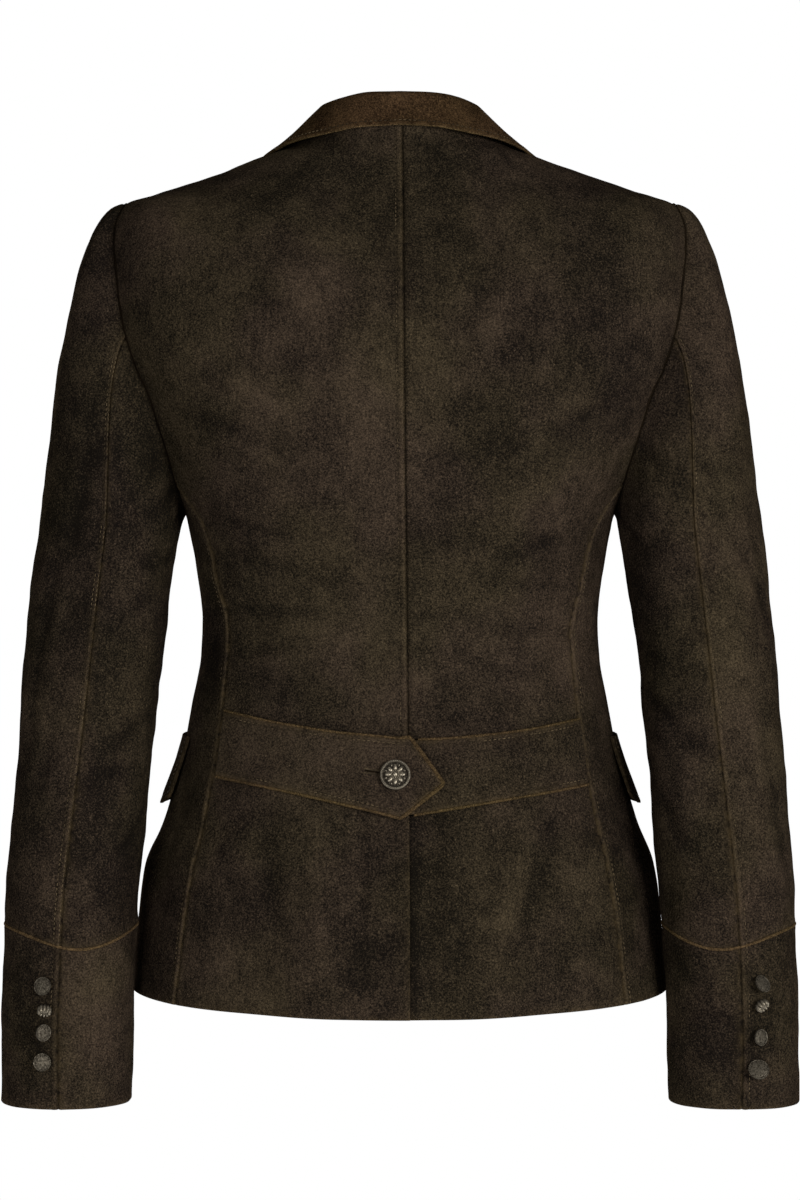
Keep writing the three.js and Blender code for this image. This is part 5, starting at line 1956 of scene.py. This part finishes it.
def big_button():
    """A domed button with a rope rim and a plain rosette."""
    ground = SHANK_HEIGHT + 1.4
    disc = turned_disc(BIG_BUTTON, SHANK_HEIGHT, 1.8, ((1.5, 0), (0.35, -0.7), (3.2, 0.5), (2.4, 0.4)), 56)
    shank = turned_disc(SHANK_RADIUS, 0, SHANK_HEIGHT, ((0.4, 0),), 16)
    parts = [disc, shank]
    parts += ring_of(48, (0.42, 0.72, 0.42), (BIG_BUTTON - 0.75, 0, SHANK_HEIGHT + 1.9), 6, 4)
    parts += ring_of(8, (2.15, 1.3, 0.75), (4.7, 0, ground + 0.75))
    parts += ring_of(8, (1.0, 0.55, 0.5), (6.6, 0, ground + 0.35), 8, 5, math.pi / 8)
    parts += ring_of(12, (0.5, 0.5, 0.5), (2.45, 0, ground + 1.25), 8, 5)
    parts.append(bead((1.75, 1.75, 1.15), (0, 0, ground + 1.35), 16, 8))
    return joined("big_button", parts, ground - 0.2, ground + 1.5)


def cuff_disc(radius):
    face = ((0.55, 0), (0.2, -0.3), (0.35, 0.18), (radius * 0.4, 0.12))
    disc = turned_disc(radius, SHANK_HEIGHT, 1.5, face, 32)
    shank = turned_disc(SHANK_RADIUS, 0, SHANK_HEIGHT, ((0.4, 0),), 12)
    return joined("cuff_disc", [disc, shank], SHANK_HEIGHT + 0.9, SHANK_HEIGHT + 1.6, 0.28)


def fluted_button(radius):
    lobes = ring_of(10, (radius * 0.3, radius * 0.25, 2.7), (radius * 0.74, 0, SHANK_HEIGHT + 2.5), 10, 8)
    core = bead((radius * 0.8, radius * 0.8, 2.2), (0, 0, SHANK_HEIGHT + 2.6), 18, 8)
    plate = turned_disc(radius * 0.6, SHANK_HEIGHT - 0.1, 0.8, ((0.4, 0),), 24)
    shank = turned_disc(SHANK_RADIUS, 0, SHANK_HEIGHT, ((0.4, 0),), 12)
    return joined("fluted_button", [*lobes, core, plate, shank], SHANK_HEIGHT - 1.6, SHANK_HEIGHT + 2.6, 0.6)


def place_button(pattern, name, foot, normal, radius, nod=0, lean=0):
    """Copies a button onto a point of the cloth, tilted, with its lowest point just off the cloth."""
    normal = Vector(normal)
    tilt = Matrix.Rotation(math.radians(nod), 3, "X") @ Matrix.Rotation(math.radians(lean), 3, "Z")
    turn = tilt @ Vector((0, 0, 1)).rotation_difference(normal).to_matrix()
    slant = (turn @ Vector((0, 0, 1))).angle(normal, 0)
    outline = ((0, 0), (SHANK_RADIUS, 0), (radius * 0.9, SHANK_HEIGHT), (radius, SHANK_HEIGHT + 0.7),
               (radius * 0.95, SHANK_HEIGHT + 1.5))
    lowest = min(up * math.cos(slant) - across * math.sin(slant) for across, up in outline)
    place = (Vector(foot) + normal * (SHANK_GAP - lowest)) * MM
    button = bpy.data.objects.new(name, pattern.data.copy())
    bpy.context.scene.collection.objects.link(button)
    button.data.transform(Matrix.Translation(place) @ turn.to_4x4())
    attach(button, "root")
    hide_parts(name)


rosette = big_button()
button_x, button_z = np.array(BELT_BUTTON_X), np.array(BELT_BUTTON_Z)
belt_point, belt_normal = on_back(button_x, button_z, BELT_BASE + BELT_RAISE + BUTTON_CLEAR)
place_button(rosette, "belt_button", belt_point, belt_normal, BIG_BUTTON)
for number, z in enumerate(FRONT_BUTTON_HEIGHTS, 1):
    foot, normal = torso(180, z, BUTTON_CLEAR), torso_normal(180, z)
    place_button(rosette, f"front_button_{number}", foot, normal, BIG_BUTTON)

patterns = [rosette]
for side_name, side in SIDES:
    for number, (kind, turn, z, radius, nod, lean) in enumerate(CUFF_BUTTONS[side_name], 1):
        pattern = fluted_button(radius) if kind == "fluted" else cuff_disc(radius)
        turns, downs = np.array(float(turn)), down_at(z)
        foot = sleeve_skin(turns, downs) * (side, 1, 1)
        normal = sleeve_normal(turns, downs) * (side, 1, 1)
        place_button(pattern, f"cuff_button_{side_name}_{number}", foot, normal, radius, nod, lean)
        patterns.append(pattern)
for pattern in patterns:
    bpy.data.objects.remove(pattern)


# Floor, camera and light
deselect()
bpy.ops.mesh.primitive_plane_add(size=FLOOR_SIZE, location=(0, 0, FLOOR))
floor = bpy.context.object
floor.name = "floor"
floor_material, _, floor_shader, _ = new_material("pale_floor")
floor_shader.inputs["Base Color"].default_value = (0.86, 0.86, 0.85, 1)
floor_shader.inputs["Roughness"].default_value = 0.9
floor.data.materials.append(floor_material)


def soft_light(name, place, aim, power, size):
    data = bpy.data.lights.new(name, "AREA")
    data.energy = power
    data.size = size
    light = bpy.data.objects.new(name, data)
    bpy.context.scene.collection.objects.link(light)
    light.location = place
    light.rotation_euler = (Vector(aim) - Vector(place)).to_track_quat("-Z", "Y").to_euler()


CHEST = (0, 0, -0.3)
soft_light("key", (-1.5, 2.1, -0.1), CHEST, 44, 0.8)
soft_light("fill", (1.1, 2.5, -0.7), CHEST, 20, 1.0)
soft_light("top", (0.1, 0.3, 2.0), CHEST, 6, 1.2)
soft_light("front_key", (1.2, -2.3, 0.3), CHEST, 56, 0.9)
soft_light("front_fill", (-1.2, -2.3, -0.4), CHEST, 28, 1.2)

camera_data = bpy.data.cameras.new("camera")
camera_data.lens = CAMERA_LENS
camera_data.sensor_width = CAMERA_SENSOR
camera = bpy.data.objects.new("camera", camera_data)
bpy.context.scene.collection.objects.link(camera)
camera.location = (0, CAMERA_DISTANCE, CAMERA_HEIGHT)
camera.rotation_euler = (math.radians(90), 0, math.radians(180))
bpy.context.scene.camera = camera

world = bpy.data.worlds.new("studio")
bpy.context.scene.world = world
world.use_nodes = True
world.node_tree.nodes.clear()
sky = Nodes(world.node_tree)
seen = sky.add("ShaderNodeLightPath").outputs["Is Camera Ray"]
strength = sky.ramp(seen, 0, 1, WORLD_LIGHT, 1.0)
backdrop = sky.add("ShaderNodeBackground", {"Color": (1, 1, 1, 1), "Strength": strength})
sky.add("ShaderNodeOutputWorld", {"Surface": backdrop.outputs["Background"]})
bpy.context.scene.view_settings.view_transform = "Standard"
